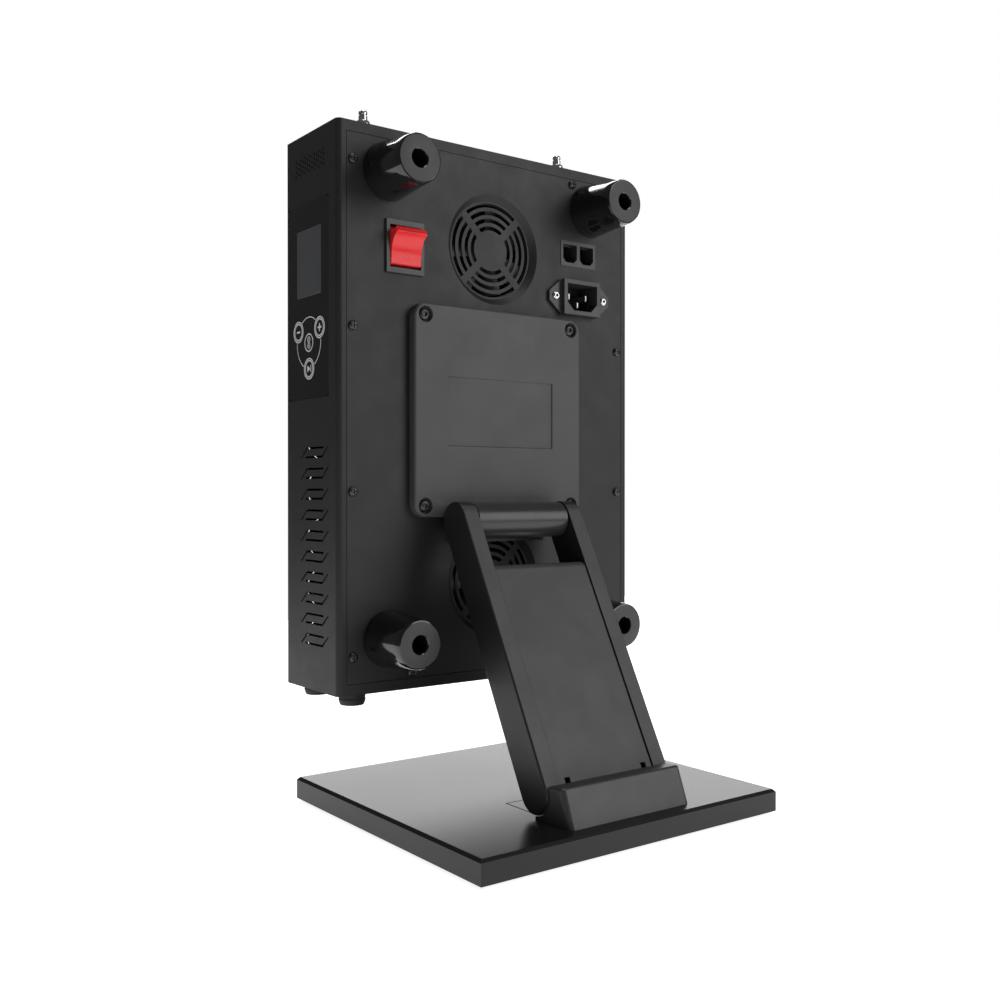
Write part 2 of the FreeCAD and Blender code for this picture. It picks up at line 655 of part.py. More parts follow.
def back_plate():
    """The flush rear plate, dished over both fans and pierced for the rear fittings."""
    edge_x = "(panel_width / 2 - rim_side - fit_gap)"
    plate = box((f"-{edge_x}", edge_x), (f"{BACK} - plate_thick", BACK),
                (f"{BOTTOM} + rim_end + fit_gap", f"{TOP} - rim_end - fit_gap"))
    solids, dishes, slots = [plate], [], []
    for name, middle_z in fan_places():
        skin = "grille_depth + grille_skin"
        solids.append(taper("grille_floor + grille_skin", "grille_radius + grille_skin", skin,
                            ("fan_x", f"{BACK} - grille_depth - grille_skin", middle_z), "Y"))
        dishes.append(taper("grille_floor", "grille_radius", "grille_depth",
                            ("fan_x", f"{BACK} - grille_depth", middle_z), "Y"))
        slots.append(grille_slots(middle_z))
    through = (f"{BACK} - 2 * plate_thick", f"{BACK} + plate_thick")
    openings = [("switch_x", "switch_z", "switch_body_x", "switch_body_z"),
                ("inlet_x", "inlet_z", "inlet_open_x + 3", "inlet_open_z + 3"),
                ("jack_x", "jack_z", "jack_width - 2", "jack_height - 2")]
    tools = [box(centred(x, wide), through, centred(f"{BOTTOM} + {z}", tall))
             for x, z, wide, tall in openings]
    bores = [(x, z, "small_shank + running_gap") for x, z in plate_screw_spots()]
    bores += [(x, z, "plate_shank + running_gap") for _, x, z in standoff_spots()]
    bores += [(x, z, "plate_shank + running_gap") for x, z in mount_screw_spots()]
    bores += [(x, f"{BOTTOM} + inlet_z", "small_shank + running_gap") for x in inlet_screw_places()]
    tools += [rod(radius, "3 * plate_thick", (x, through[0], z), "Y") for x, z, radius in bores]
    keep("back_plate", minus(minus(fused(solids), dishes), slots + tools))


def back_plate_screws():
    screws = [screw((x, BACK, z), "Y", "small_head", "small_tall", "small_shank",
                    "small_length")
              for x, z in plate_screw_spots()]
    keep("back_plate_screws", together(screws))


def panel_feet():
    feet = []
    for sign in (1, -1):
        for depth in ("foot_rear", "foot_front"):
            at = (f"{sign} * foot_x", f"{BACK} - {depth}", f"{BOTTOM} - foot_height")
            feet.append(taper("0.85 * foot_radius", "foot_radius", "foot_height", at))
    keep("panel_feet", together(feet))


# ---- lamp side and the inside of the panel -----------------------------------------------

def lens_spots():
    """The lens grid, as (x, z) points."""
    columns, rows = int(size("lens_columns")), int(size("lens_rows"))
    return [(f"{column - (columns - 1) / 2} * lens_pitch_x",
             f"{BOTTOM} + panel_height / 2 + {row - (rows - 1) / 2} * lens_pitch_z")
            for column in range(columns) for row in range(rows)]


def front_plate():
    plate = body("front_plate")
    edge = f"({INSIDE_X} - fit_gap / 2)"
    inset = "(wall_thick + fit_gap / 2)"
    outline = rectangle((f"-{edge}", edge), (f"{BOTTOM} + {inset}", f"{TOP} - {inset}"))
    pad(plate, sketch(plate, "XZ_Plane", f"{FRONT} + front_thick", [outline]), "front_thick")
    holes = [("circle", x, z, "lens_radius + fit_gap / 2") for x, z in lens_spots()]
    pocket(plate, sketch(plate, "XZ_Plane", f"{FRONT} + front_thick", holes), "front_thick",
           backwards=True)


def lens_array():
    lenses = [taper("lens_radius", "lens_small", "lens_depth", (x, f"{FRONT} + lens_sunk", z), "Y")
              for x, z in lens_spots()]
    keep("lens_array", together(lenses))


def led_emitters():
    start = f"{FRONT} + lens_sunk + lens_depth + part_gap"
    chips = [box(centred(x, "chip_size"), (start, f"{start} + chip_thick"), centred(z, "chip_size"))
             for x, z in lens_spots()]
    keep("led_emitters", together(chips))


def led_board():
    start = f"{FRONT} + lens_sunk + lens_depth + part_gap + chip_thick"
    keep("led_board", box(("-board_half", "board_half"), (start, f"{start} + board_thick"),
                          (f"{BOTTOM} + board_inset", f"{TOP} - board_inset")))


def heat_sink():
    start = f"{FRONT} + lens_sunk + lens_depth + part_gap + chip_thick + board_thick"
    high = (f"{BOTTOM} + sink_inset", f"{TOP} - sink_inset")
    solids = [box(("-sink_half", "sink_half"), (start, f"{start} + sink_web"), high)]
    count = int(size("fin_count"))
    for index in range(count):
        solids.append(box(centred(f"{index - (count - 1) / 2} * fin_pitch", "fin_thick"),
                          (f"{start} + sink_web - 1", f"{start} + fin_tall"), high))
    keep("heat_sink", fused(solids))


def led_drivers():
    """Two closed power supplies between the fans."""
    for sign, side in SIDES:
        middle_x = f"{sign} * (driver_inner + driver_outer) / 2"
        supply = box(centred(middle_x, "driver_outer - driver_inner"),
                     (f"{BACK} - driver_deep", f"{BACK} - driver_shallow"),
                     (f"{BOTTOM} + driver_low", f"{BOTTOM} + driver_high"))
        keep(f"led_driver_{side}", rounded(supply, "driver_round", runs_along("z")))


def control_board():
    board = box((f"{INSIDE_X} - control_in", f"{INSIDE_X} - control_in + control_thick"),
                (f"{BACK} - control_front", f"{BACK} - control_rear"),
                (f"{BOTTOM} + control_low", f"{BOTTOM} + control_high"))
    keep("control_board", board)


def lcd_module():
    module = box((f"{INSIDE_X} - display_in", f"{INSIDE_X} - fit_gap"),
                 (f"{BACK} - window_front - display_edge_y",
                  f"{BACK} - window_rear + display_edge_y"),
                 (f"{BOTTOM} + window_low - display_edge_z",
                  f"{BOTTOM} + window_high + display_edge_z"))
    keep("lcd_module", module)


def touch_overlay():
    """The glossy control film and the display window let into it, both flush with the wall."""
    across = ("panel_width / 2 - overlay_thick", "panel_width / 2")
    film = box(across, (f"{BACK} - overlay_front + overlay_gap",
                        f"{BACK} - overlay_rear - overlay_gap"),
               (f"{BOTTOM} + overlay_low + overlay_gap", f"{BOTTOM} + overlay_high - overlay_gap"))
    window = window_outline("0")
    spans = (window[0][0], window[1][0]), (window[0][1], window[2][1])
    keep("touch_overlay", minus(rounded(film, "overlay_round", runs_along("x")),
                                [box(across, *spans)]))
    glass = window_outline("part_gap")
    keep("lcd_window", box(across, (glass[0][0], glass[1][0]), (glass[0][1], glass[2][1])))


def fan_frame(name, middle_z):
    """Square frame with a round duct, four struts and the hub that carries the bush."""
    ends = (f"{FAN_REAR} - fan_depth", FAN_REAR)
    at = ("fan_x", ends[0], middle_z)
    frame = box(centred("fan_x", "fan_size"), ends, centred(middle_z, "fan_size"))
    duct = rod("fan_bore", "fan_depth", at, "Y")
    holes = [rod("small_shank + 0.4", "fan_depth", (f"fan_x + {across} * fan_hole_half", ends[0],
                                                    f"{middle_z} + {up} * fan_hole_half"), "Y")
             for across in (1, -1) for up in (1, -1)]
    hub = rod("rotor_hub", "fan_hub_thick", at, "Y")
    deep = (ends[0], f"{ends[0]} + strut_thick")
    reach = "2 * (fan_bore + 1)"
    struts = [box(centred("fan_x", reach), deep, centred(middle_z, "strut_width")),
              box(centred("fan_x", "strut_width"), deep, centred(middle_z, reach))]
    bush = rod("bush_radius + running_gap", "fan_depth", at, "Y")
    keep(f"fan_frame_{name}", minus(fused([minus(frame, [duct, *holes]), hub, *struts]), [bush]))


def fan_rotor(name, middle_z):
    """Hub cap, spindle and seven pitched blades, turning about Y."""
    rear = f"({FAN_REAR} - rotor_gap)"
    front = ("fan_x", f"{rear} - rotor_depth", middle_z)
    hub = rod("rotor_hub", "rotor_depth", front, "Y")
    spindle = rod("bush_radius", "rotor_depth + fan_hub_thick",
                  ("fan_x", f"{rear} - rotor_depth - fan_hub_thick", middle_z), "Y")
    blades = []
    count = int(size("blade_count"))
    for number in range(count):
        turn = (Rotation(Vector(0, 1, 0), number * 360 / count)
                * Rotation(Vector(1, 0, 0), size("blade_pitch")))
        blade = box(("rotor_hub - 1", "rotor_radius + 2"),
                    ("-blade_half_chord", "blade_half_chord"),
                    centred("0", "blade_thick"))
        middle = ("fan_x", f"{rear} - rotor_depth / 2", middle_z)
        blades.append(place(together([blade]), middle, turn))
    disc = rod("rotor_radius", "rotor_depth", front, "Y")
    keep(f"fan_rotor_{name}", fused([hub, spindle, common(fused(blades), disc)]))


def fan_screws():
    screws = []
    for _, middle_z in fan_places():
        for across in (1, -1):
            for up in (1, -1):
                at = (f"fan_x + {across} * fan_hole_half", f"{FAN_REAR} - fan_depth - small_tall",
                      f"{middle_z} + {up} * fan_hole_half")
                head = rod("small_head", "small_tall", at, "Y")
                shank = rod("small_shank", f"{BACK} - plate_thick - ({at[1]})", at, "Y")
                screws.append(fused([head, shank]))
    keep("fan_screws", together(screws))


# ---- rear fittings -----------------------------------------------------------------------

def power_switch():
    """Snap-in switch housing with a bezel, and the rocker on its trunnions."""
    middle_z = f"({BOTTOM} + switch_z)"
    bezel = box(centred("switch_x", "bezel_width"), (BACK, f"{BACK} + bezel_proud"),
                centred(middle_z, "bezel_height"))
    shell = box(centred("switch_x", "switch_body_x - fit_gap"), (f"{BACK} - switch_deep", BACK),
                centred(middle_z, "switch_body_z - fit_gap"))
    mouth = box(centred("switch_x", "switch_open_x"),
                (f"{BACK} - switch_deep + switch_floor", f"{BACK} + 2 * bezel_proud"),
                centred(middle_z, "switch_open_z"))
    axle = ("switch_x - switch_body_x / 2", f"{BACK} - rocker_axis", middle_z)
    bore = rod("trunnion_radius + running_gap", "switch_body_x", axle, "X")
    tabs = [box(centred(f"switch_x + {across} * tab_step", "tab_thick"),
                (f"{BACK} - switch_deep - tab_length", f"{BACK} - switch_deep"),
                centred(middle_z, "tab_height")) for across in (-1, 0, 1)]
    keep("switch_housing", minus(fused([bezel, shell]), [mouth, bore]))
    keep("switch_tabs", together(tabs))

    rocker = body("switch_rocker")
    points = [(f"{BACK} - rocker_axis + {y}", f"{middle_z} + {z}") for y, z in ROCKER_PROFILE]
    pad(rocker, sketch(rocker, "YZ_Plane", "switch_x", [points]), "rocker_width", symmetric=True)
    trunnion = ("circle", f"{BACK} - rocker_axis", middle_z, "trunnion_radius")
    pad(rocker, sketch(rocker, "YZ_Plane", "switch_x", [trunnion]), "switch_body_x - 1",
        symmetric=True)


def inlet_screw_places():
    return [f"inlet_x + {sign} * inlet_screws / 2" for sign in (1, -1)]


def power_inlet():
    """Three-pin appliance inlet: ears, raised shroud with two cut corners, and a deep socket."""
    middle_z = f"({BOTTOM} + inlet_z)"
    inlet = body("power_inlet")
    half = "inlet_height / 2"
    ears = [("-ear_reach", "-ear_tip_half"), ("-inlet_width / 2", f"-{half}"),
            ("inlet_width / 2", f"-{half}"), ("ear_reach", "-ear_tip_half"),
            ("ear_reach", "ear_tip_half"), ("inlet_width / 2", half),
            ("-inlet_width / 2", half), ("-ear_reach", "ear_tip_half")]
    ears = [(f"inlet_x + {x}", f"{middle_z} + {z}") for x, z in ears]
    pad(inlet, sketch(inlet, "XZ_Plane", BACK, [ears]), "ear_thick", backwards=True)
    shroud = rectangle(centred("inlet_x", "inlet_width"), centred(middle_z, "inlet_height"))
    pad(inlet, sketch(inlet, "XZ_Plane", BACK, [shroud]), "inlet_proud", backwards=True)
    tail = rectangle(centred("inlet_x", "inlet_open_x + 2 * shroud_wall"),
                     centred(middle_z, "inlet_open_z + 2 * shroud_wall"))
    pad(inlet, sketch(inlet, "XZ_Plane", BACK, [tail]), "inlet_deep - inlet_proud + 3")
    x, z = "inlet_open_x / 2", "inlet_open_z / 2"
    mouth = [(f"-{x} + inlet_corner", f"-{z}"), (f"{x} - inlet_corner", f"-{z}"),
             (x, f"-{z} + inlet_corner"), (x, z), (f"-{x}", z), (f"-{x}", f"-{z} + inlet_corner")]
    mouth = [(f"inlet_x + {across}", f"{middle_z} + {up}") for across, up in mouth]
    face = f"{BACK} + inlet_proud"
    pocket(inlet, sketch(inlet, "XZ_Plane", face, [mouth]), "inlet_deep", backwards=True)
    holes = [("circle", place_x, middle_z, "small_shank + running_gap")
             for place_x in inlet_screw_places()]
    pocket(inlet, sketch(inlet, "XZ_Plane", face, holes), "2 * inlet_proud", backwards=True)

    floor = f"({BACK} + inlet_proud - inlet_deep)"
    pins = [box(centred(f"inlet_x + {across}", "pin_thick"), (floor, f"{floor} + pin_length"),
                centred(f"{middle_z} + {up}", "pin_height"))
            for across, up in (("-pin_pitch", "pin_outer_up"), ("0", "-pin_earth_down"),
                               ("pin_pitch", "pin_outer_up"))]
    keep("inlet_pins", together(pins))
    seat = f"{BACK} + ear_thick"
    keep("inlet_screws", together([screw((place_x, seat, middle_z), "Y", "inlet_head", "inlet_tall",
                                         "small_shank", "inlet_shank")
                                   for place_x in inlet_screw_places()]))


def jack_module():
    """Twin modular sockets in one plastic body, with their contact springs."""
    middle_z = f"({BOTTOM} + jack_z)"
    jacks = body("jack_module")
    face = f"{BACK} + jack_proud"
    plate = rectangle(centred("jack_x", "jack_width"), centred(middle_z, "jack_height"))
    pad(jacks, sketch(jacks, "XZ_Plane", BACK, [plate]), "jack_proud", backwards=True)
    tail = rectangle(centred("jack_x", "jack_width - 2 * jack_lip"),
                     centred(middle_z, "jack_height - 2 * jack_lip"))
    pad(jacks, sketch(jacks, "XZ_Plane", BACK, [tail]), "jack_deep")
    mouths, contacts = [], []
    for sign in (1, -1):
        across = f"(jack_x + {sign} * jack_pitch / 2)"
        x, z = "jack_open / 2", "jack_open_z / 2"
        outline = [(f"-{x} + jack_corner", f"-{z}"), (f"{x} - jack_corner", f"-{z}"),
                   (x, f"-{z} + jack_corner"), (x, z), (f"-{x}", z),
                   (f"-{x}", f"-{z} + jack_corner")]
        mouths.append([(f"{across} + {dx}", f"{middle_z} + {dz}") for dx, dz in outline])
        for index in range(4):
            contact_x = f"{across} + {index - 1.5} * contact_pitch"
            contacts.append(box(centred(contact_x, "contact_width"),
                                (f"{BACK} - jack_deep + jack_floor", f"{BACK} - contact_set_in"),
                                (f"{middle_z} + jack_open_z / 2 - contact_thick",
                                 f"{middle_z} + jack_open_z / 2")))
    pocket(jacks, sketch(jacks, "XZ_Plane", face, mouths), "jack_proud + jack_deep - jack_floor",
           backwards=True)
    keep("jack_contacts", together(contacts))


def standoffs():
    """Four tapered bumpers on the back, each with a deep bore over its fixing screw."""
    screws = []
    for corner, x, z in standoff_spots():
        at = (x, BACK, z)
        body_solid = taper("standoff_base", "standoff_end", "standoff_length", at, "Y")
        seat = f"{BACK} + standoff_floor"
        bore = rod("standoff_bore", "standoff_length", (x, f"{seat} + screw_sunk", z), "Y")
        head_seat = rod("plate_head + part_gap * 2", "standoff_length", (x, seat, z), "Y")
        hole = rod("plate_shank + running_gap", "standoff_length", at, "Y")
        keep(f"standoff_{corner}", minus(body_solid, [bore, head_seat, hole]))
        screws.append(screw((x, seat, z), "Y", "plate_head", "plate_tall", "plate_shank",
                            "standoff_floor + anchor_length"))
    keep("standoff_screws", together(screws))


def mount_screw_spots():
    middle = f"({BOTTOM} + mount_low + mount_height / 2)"
    return [(f"{across} * mount_screw_x", f"{middle} + {up} * mount_screw_z")
            for across in (1, -1) for up in (1, -1)]


def mount_plate():
    plate = body("mount_plate")
    middle = f"({BOTTOM} + mount_low + mount_height / 2)"
    outline = rectangle(centred("0", "mount_width"), centred(middle, "mount_height"))
    pad(plate, sketch(plate, "XZ_Plane", BACK, [outline]), "mount_thick", backwards=True)
    dress(plate, "Fillet", "mount_round", runs_along("y"))
    face = f"{BACK} + mount_thick"
    dress(plate, "Chamfer", "mount_chamfer", lies_at("Y", face))
    recess = rectangle(centred("0", "mount_recess_x"), centred(middle, "mount_recess_z"))
    pocket(plate, sketch(plate, "XZ_Plane", face, [recess]), "mount_recess_deep", backwards=True)
    for radius, depth in (("counterbore_radius", "counterbore_deep"),
                          ("plate_shank + running_gap", "mount_thick")):
        circles = [("circle", x, z, radius) for x, z in mount_screw_spots()]
        pocket(plate, sketch(plate, "XZ_Plane", face, circles), depth, backwards=True)
    seat = f"{BACK} + mount_thick - counterbore_deep"
    keep("mount_screws", together([screw((x, seat, z), "Y", "plate_head", "plate_tall",
                                         "plate_shank", "mount_shank")
                                   for x, z in mount_screw_spots()]))


def head_barrel():
    """The tilt hinge's barrel between the arms, with the web and lip that bolt it to the back."""
    half = "(arm_inner - barrel_gap)"
    at = (f"-{half}", UPPER_Y, UPPER_Z)
    barrel = rod("barrel_radius", f"2 * {half}", at, "X")
    web = box((f"-{half}", half), (BACK, UPPER_Y),
              (f"{UPPER_Z} - web_drop", f"{BOTTOM} + mount_low - running_gap"))
    lip = box((f"-{half}", half), (f"{BACK} + side_gap", f"{BACK} + side_gap + web_lip_thick"),
              (f"{UPPER_Z} - web_lip_drop", f"{UPPER_Z} - web_drop + 1"))
    bore = rod("shaft_radius + running_gap", f"2 * {half}", at, "X")
    keep("head_barrel", minus(fused([barrel, web, lip]), [bore]))


def hangers():
    """Cable grippers on top: threaded barrel, nut under the wall, and a sprung plunger."""
    y = f"{BACK} - hanger_y"
    nuts = []
    for sign, side in SIDES:
        x = f"{sign} * hanger_x"
        sleeve = rod("hanger_radius", "hanger_tall", (x, y, TOP))
        stud = rod("hanger_stud - running_gap", "hanger_stud_deep",
                   (x, y, f"{TOP} - hanger_stud_deep"))
        bore = rod("plunger_radius + running_gap", "hanger_tall + hanger_stud_deep - 2",
                   (x, y, f"{TOP} - hanger_stud_deep + 2"))
        keep(f"hanger_socket_{side}", minus(fused([sleeve, stud]), [bore]))
        nut = rod("nut_radius", "nut_height", (x, y, f"{TOP} - wall_thick - nut_height"))
        nut_bore = rod("hanger_stud", "nut_height", (x, y, f"{TOP} - wall_thick - nut_height"))
        nuts.append(minus(nut, [nut_bore]))
        tip = f"{TOP} + hanger_tall"
        pin = rod("plunger_radius", "plunger_deep + plunger_out - 1.5",
                  (x, y, f"{tip} - plunger_deep"))
        cap = taper("plunger_radius", "0.55 * plunger_radius", "1.5",
                    (x, y, f"{tip} + plunger_out - 1.5"))
        keep(f"hanger_plunger_{side}", fused([pin, cap]))
    keep("hanger_nuts", together(nuts))


# ---- build, check and write --------------------------------------------------------------

base_plate()
base_inlay()
base_feet()
hinge_block()
block_screws()
lower_hinge_shaft()
for sign, side in SIDES:
    arm(sign, side)
arm_cover("rear", 1)
arm_cover("front", -1)
arm_crossbars()
upper_hinge_shaft()
hinge_washers()
housing_shell()
back_plate()
back_plate_screws()
panel_feet()
front_plate()
lens_array()
led_emitters()
led_board()
heat_sink()
led_drivers()
control_board()
lcd_module()
touch_overlay()
for name, middle_z in fan_places():
    fan_frame(name, middle_z)
    fan_rotor(name, middle_z)
fan_screws()
power_switch()
power_inlet()
jack_module()
standoffs()
mount_plate()
head_barrel()
hangers()

doc.recompute()
for thing in doc.Objects:
    if "Invalid" in thing.State or "Error" in thing.State:
        raise ValueError(f"{thing.Name} ({thing.Label}) failed: {thing.State}")
os.makedirs("parts", exist_ok=True)
for piece in PIECES:
    if piece.Shape.isNull() or not piece.Shape.isValid():
        raise ValueError(f"{piece.Label} has no valid shape")
    piece.Shape.exportStep(f"parts/{piece.Label}.step")
print(len(PIECES), "sub-parts written")
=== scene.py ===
import json
import math

import bpy
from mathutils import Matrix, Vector


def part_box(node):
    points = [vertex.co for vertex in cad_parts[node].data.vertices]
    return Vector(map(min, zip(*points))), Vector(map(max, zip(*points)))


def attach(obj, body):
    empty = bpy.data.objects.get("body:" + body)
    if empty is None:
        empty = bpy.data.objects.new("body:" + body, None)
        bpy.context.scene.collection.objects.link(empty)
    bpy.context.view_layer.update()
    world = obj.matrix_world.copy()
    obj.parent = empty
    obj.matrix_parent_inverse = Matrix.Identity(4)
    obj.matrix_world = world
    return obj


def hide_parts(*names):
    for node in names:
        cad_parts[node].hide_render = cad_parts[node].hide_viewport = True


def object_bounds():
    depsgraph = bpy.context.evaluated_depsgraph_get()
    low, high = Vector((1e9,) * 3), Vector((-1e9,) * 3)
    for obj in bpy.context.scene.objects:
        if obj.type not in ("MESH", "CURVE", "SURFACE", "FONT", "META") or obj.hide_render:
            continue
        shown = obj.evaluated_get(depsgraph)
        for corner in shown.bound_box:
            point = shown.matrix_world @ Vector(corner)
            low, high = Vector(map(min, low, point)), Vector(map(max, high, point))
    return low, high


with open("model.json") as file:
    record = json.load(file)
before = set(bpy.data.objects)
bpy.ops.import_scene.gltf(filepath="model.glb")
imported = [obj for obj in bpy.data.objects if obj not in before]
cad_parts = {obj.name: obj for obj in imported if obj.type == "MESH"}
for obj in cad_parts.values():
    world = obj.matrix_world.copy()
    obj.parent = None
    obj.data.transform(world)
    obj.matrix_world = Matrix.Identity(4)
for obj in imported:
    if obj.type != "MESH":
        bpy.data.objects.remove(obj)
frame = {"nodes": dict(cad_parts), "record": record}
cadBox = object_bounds()
nodes = frame["nodes"]
mm = 0.001
print("frame loaded:", len(nodes), "nodes")


# small helpers for working with the selection

def deselectAll():
    if bpy.context.object and bpy.context.object.mode != "OBJECT":
        bpy.ops.object.mode_set(mode="OBJECT")
    bpy.ops.object.select_all(action="DESELECT")


def activate(piece):
    deselectAll()
    piece.select_set(True)
    bpy.context.view_layer.objects.active = piece


def editFaces(piece, test):
    # enters edit mode with only the faces that pass the test selected
    activate(piece)
    for polygon in piece.data.polygons:
        polygon.select = False
    for edge in piece.data.edges:
        edge.select = False
    for vertex in piece.data.vertices:
        vertex.select = False
    for polygon in piece.data.polygons:
        polygon.select = bool(test(polygon))
    bpy.ops.object.mode_set(mode="EDIT")
    bpy.ops.mesh.select_mode(type="FACE")


def doneEditing():
    bpy.ops.object.mode_set(mode="OBJECT")


def applyModifier(piece, kind, **values):
    activate(piece)
    modifier = piece.modifiers.new(kind.title(), kind)
    for key, value in values.items():
        setattr(modifier, key, value)
    bpy.ops.object.modifier_apply(modifier=modifier.name)


def bevelled(piece, width, segments=3, angle=35):
    applyModifier(piece, "BEVEL", width=width, segments=segments, limit_method="ANGLE",
                  angle_limit=math.radians(angle), harden_normals=False)
    return piece


def smoothed(piece, angle=40):
    activate(piece)
    bpy.ops.object.shade_smooth_by_angle(angle=math.radians(angle))
    return piece


def settled(piece):
    # moves the object's place and turn into its mesh
    activate(piece)
    bpy.ops.object.transform_apply(location=True, rotation=True, scale=True)
    return piece


def joined(name, pieces):
    deselectAll()
    for piece in pieces:
        piece.select_set(True)
    bpy.context.view_layer.objects.active = pieces[0]
    if len(pieces) > 1:
        bpy.ops.object.join()
    whole = bpy.context.view_layer.objects.active
    whole.name = name
    return whole


def copyTo(piece, shift):
    twin = piece.copy()
    twin.data = piece.data.copy()
    bpy.context.scene.collection.objects.link(twin)
    twin.location = shift
    return settled(twin)


def copiesAt(name, piece, spots):
    copies = [copyTo(piece, Vector(spot)) for spot in spots]
    bpy.data.objects.remove(piece)
    return joined(name, copies)


def paint(piece, *materials):
    piece.data.materials.clear()
    for material in materials:
        piece.data.materials.append(material)
    return piece


def fitted(piece, body, node):
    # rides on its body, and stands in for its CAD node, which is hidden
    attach(piece, body)
    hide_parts(node)
    return piece


def turned(name, steps, sides=64, turn=(0, 0, 0)):
    # a round piece: a disc is extruded and resized from step to step, each (radius, height) in mm
    radius, height = steps[0]
    deselectAll()
    bpy.ops.mesh.primitive_circle_add(vertices=sides, radius=radius * mm, fill_type="NGON",
                                      location=(0, 0, 0))
    piece = bpy.context.object
    piece.name = name
    bpy.ops.object.mode_set(mode="EDIT")
    bpy.ops.mesh.select_all(action="SELECT")
    bpy.ops.transform.translate(value=(0, 0, height * mm))
    for nextRadius, nextHeight in steps[1:]:
        bpy.ops.mesh.extrude_region_move(
            TRANSFORM_OT_translate={"value": (0, 0, (nextHeight - height) * mm)})
        scale = nextRadius / radius
        bpy.ops.transform.resize(value=(scale, scale, 1), center_override=(0, 0, nextHeight * mm))
        radius, height = nextRadius, nextHeight
    bpy.ops.mesh.select_all(action="SELECT")
    bpy.ops.mesh.normals_make_consistent(inside=False)
    doneEditing()
    piece.rotation_euler = turn
    return settled(piece)


faceRear = (-math.pi / 2, 0, 0)   # turns a piece made along Z so that it points out of the back


def middle(node):
    low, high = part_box(node)
    return (low + high) / 2


# materials: everything reads the piece's own Object coordinates, in metres

def newMaterial(name):
    material = bpy.data.materials.new(name)
    material.use_nodes = True
    tree = material.node_tree
    shader = tree.nodes["Principled BSDF"]
    coordinates = tree.nodes.new("ShaderNodeTexCoord")
    return material, tree, shader, coordinates.outputs["Object"]


def addNoise(tree, place, scale, detail=3, roughness=0.55):
    noise = tree.nodes.new("ShaderNodeTexNoise")
    noise.inputs["Scale"].default_value = scale
    noise.inputs["Detail"].default_value = detail
    noise.inputs["Roughness"].default_value = roughness
    tree.links.new(place, noise.inputs["Vector"])
    return noise.outputs["Fac"]


def addRamp(tree, factor, low, high, start=0.35, end=0.65):
    ramp = tree.nodes.new("ShaderNodeValToRGB")
    ramp.color_ramp.elements[0].position = start
    ramp.color_ramp.elements[1].position = end
    ramp.color_ramp.elements[0].color = (*low, 1)
    ramp.color_ramp.elements[1].color = (*high, 1)
    tree.links.new(factor, ramp.inputs["Fac"])
    return ramp.outputs["Color"]


def addRange(tree, factor, low, high):
    mapRange = tree.nodes.new("ShaderNodeMapRange")
    mapRange.inputs["From Min"].default_value = 0.3
    mapRange.inputs["From Max"].default_value = 0.7
    mapRange.inputs["To Min"].default_value = low
    mapRange.inputs["To Max"].default_value = high
    tree.links.new(factor, mapRange.inputs["Value"])
    return mapRange.outputs["Result"]


def addBump(tree, shader, factor, strength, distance):
    bump = tree.nodes.new("ShaderNodeBump")
    bump.inputs["Strength"].default_value = strength
    bump.inputs["Distance"].default_value = distance
    tree.links.new(factor, bump.inputs["Height"])
    tree.links.new(bump.outputs["Normal"], shader.inputs["Normal"])


def finish(name, look):
    # colour wanders slowly, roughness more quickly, and the grain is in the bump
    material, tree, shader, place = newMaterial(name)
    dark, light = look["colours"]
    drift = addNoise(tree, place, look.get("driftScale", 14), 4)
    tree.links.new(addRamp(tree, drift, dark, light), shader.inputs["Base Color"])
    smear = addNoise(tree, place, look.get("smearScale", 60), 5, 0.6)
    low, high = look["roughness"]
    tree.links.new(addRange(tree, smear, low, high), shader.inputs["Roughness"])
    grain = addNoise(tree, place, look.get("grainScale", 1400), 2)
    addBump(tree, shader, grain, look.get("grain", 0.15), look.get("grainDepth", 0.0002))
    for socket, value in look.get("fixed", {}).items():
        shader.inputs[socket].default_value = value
    return material


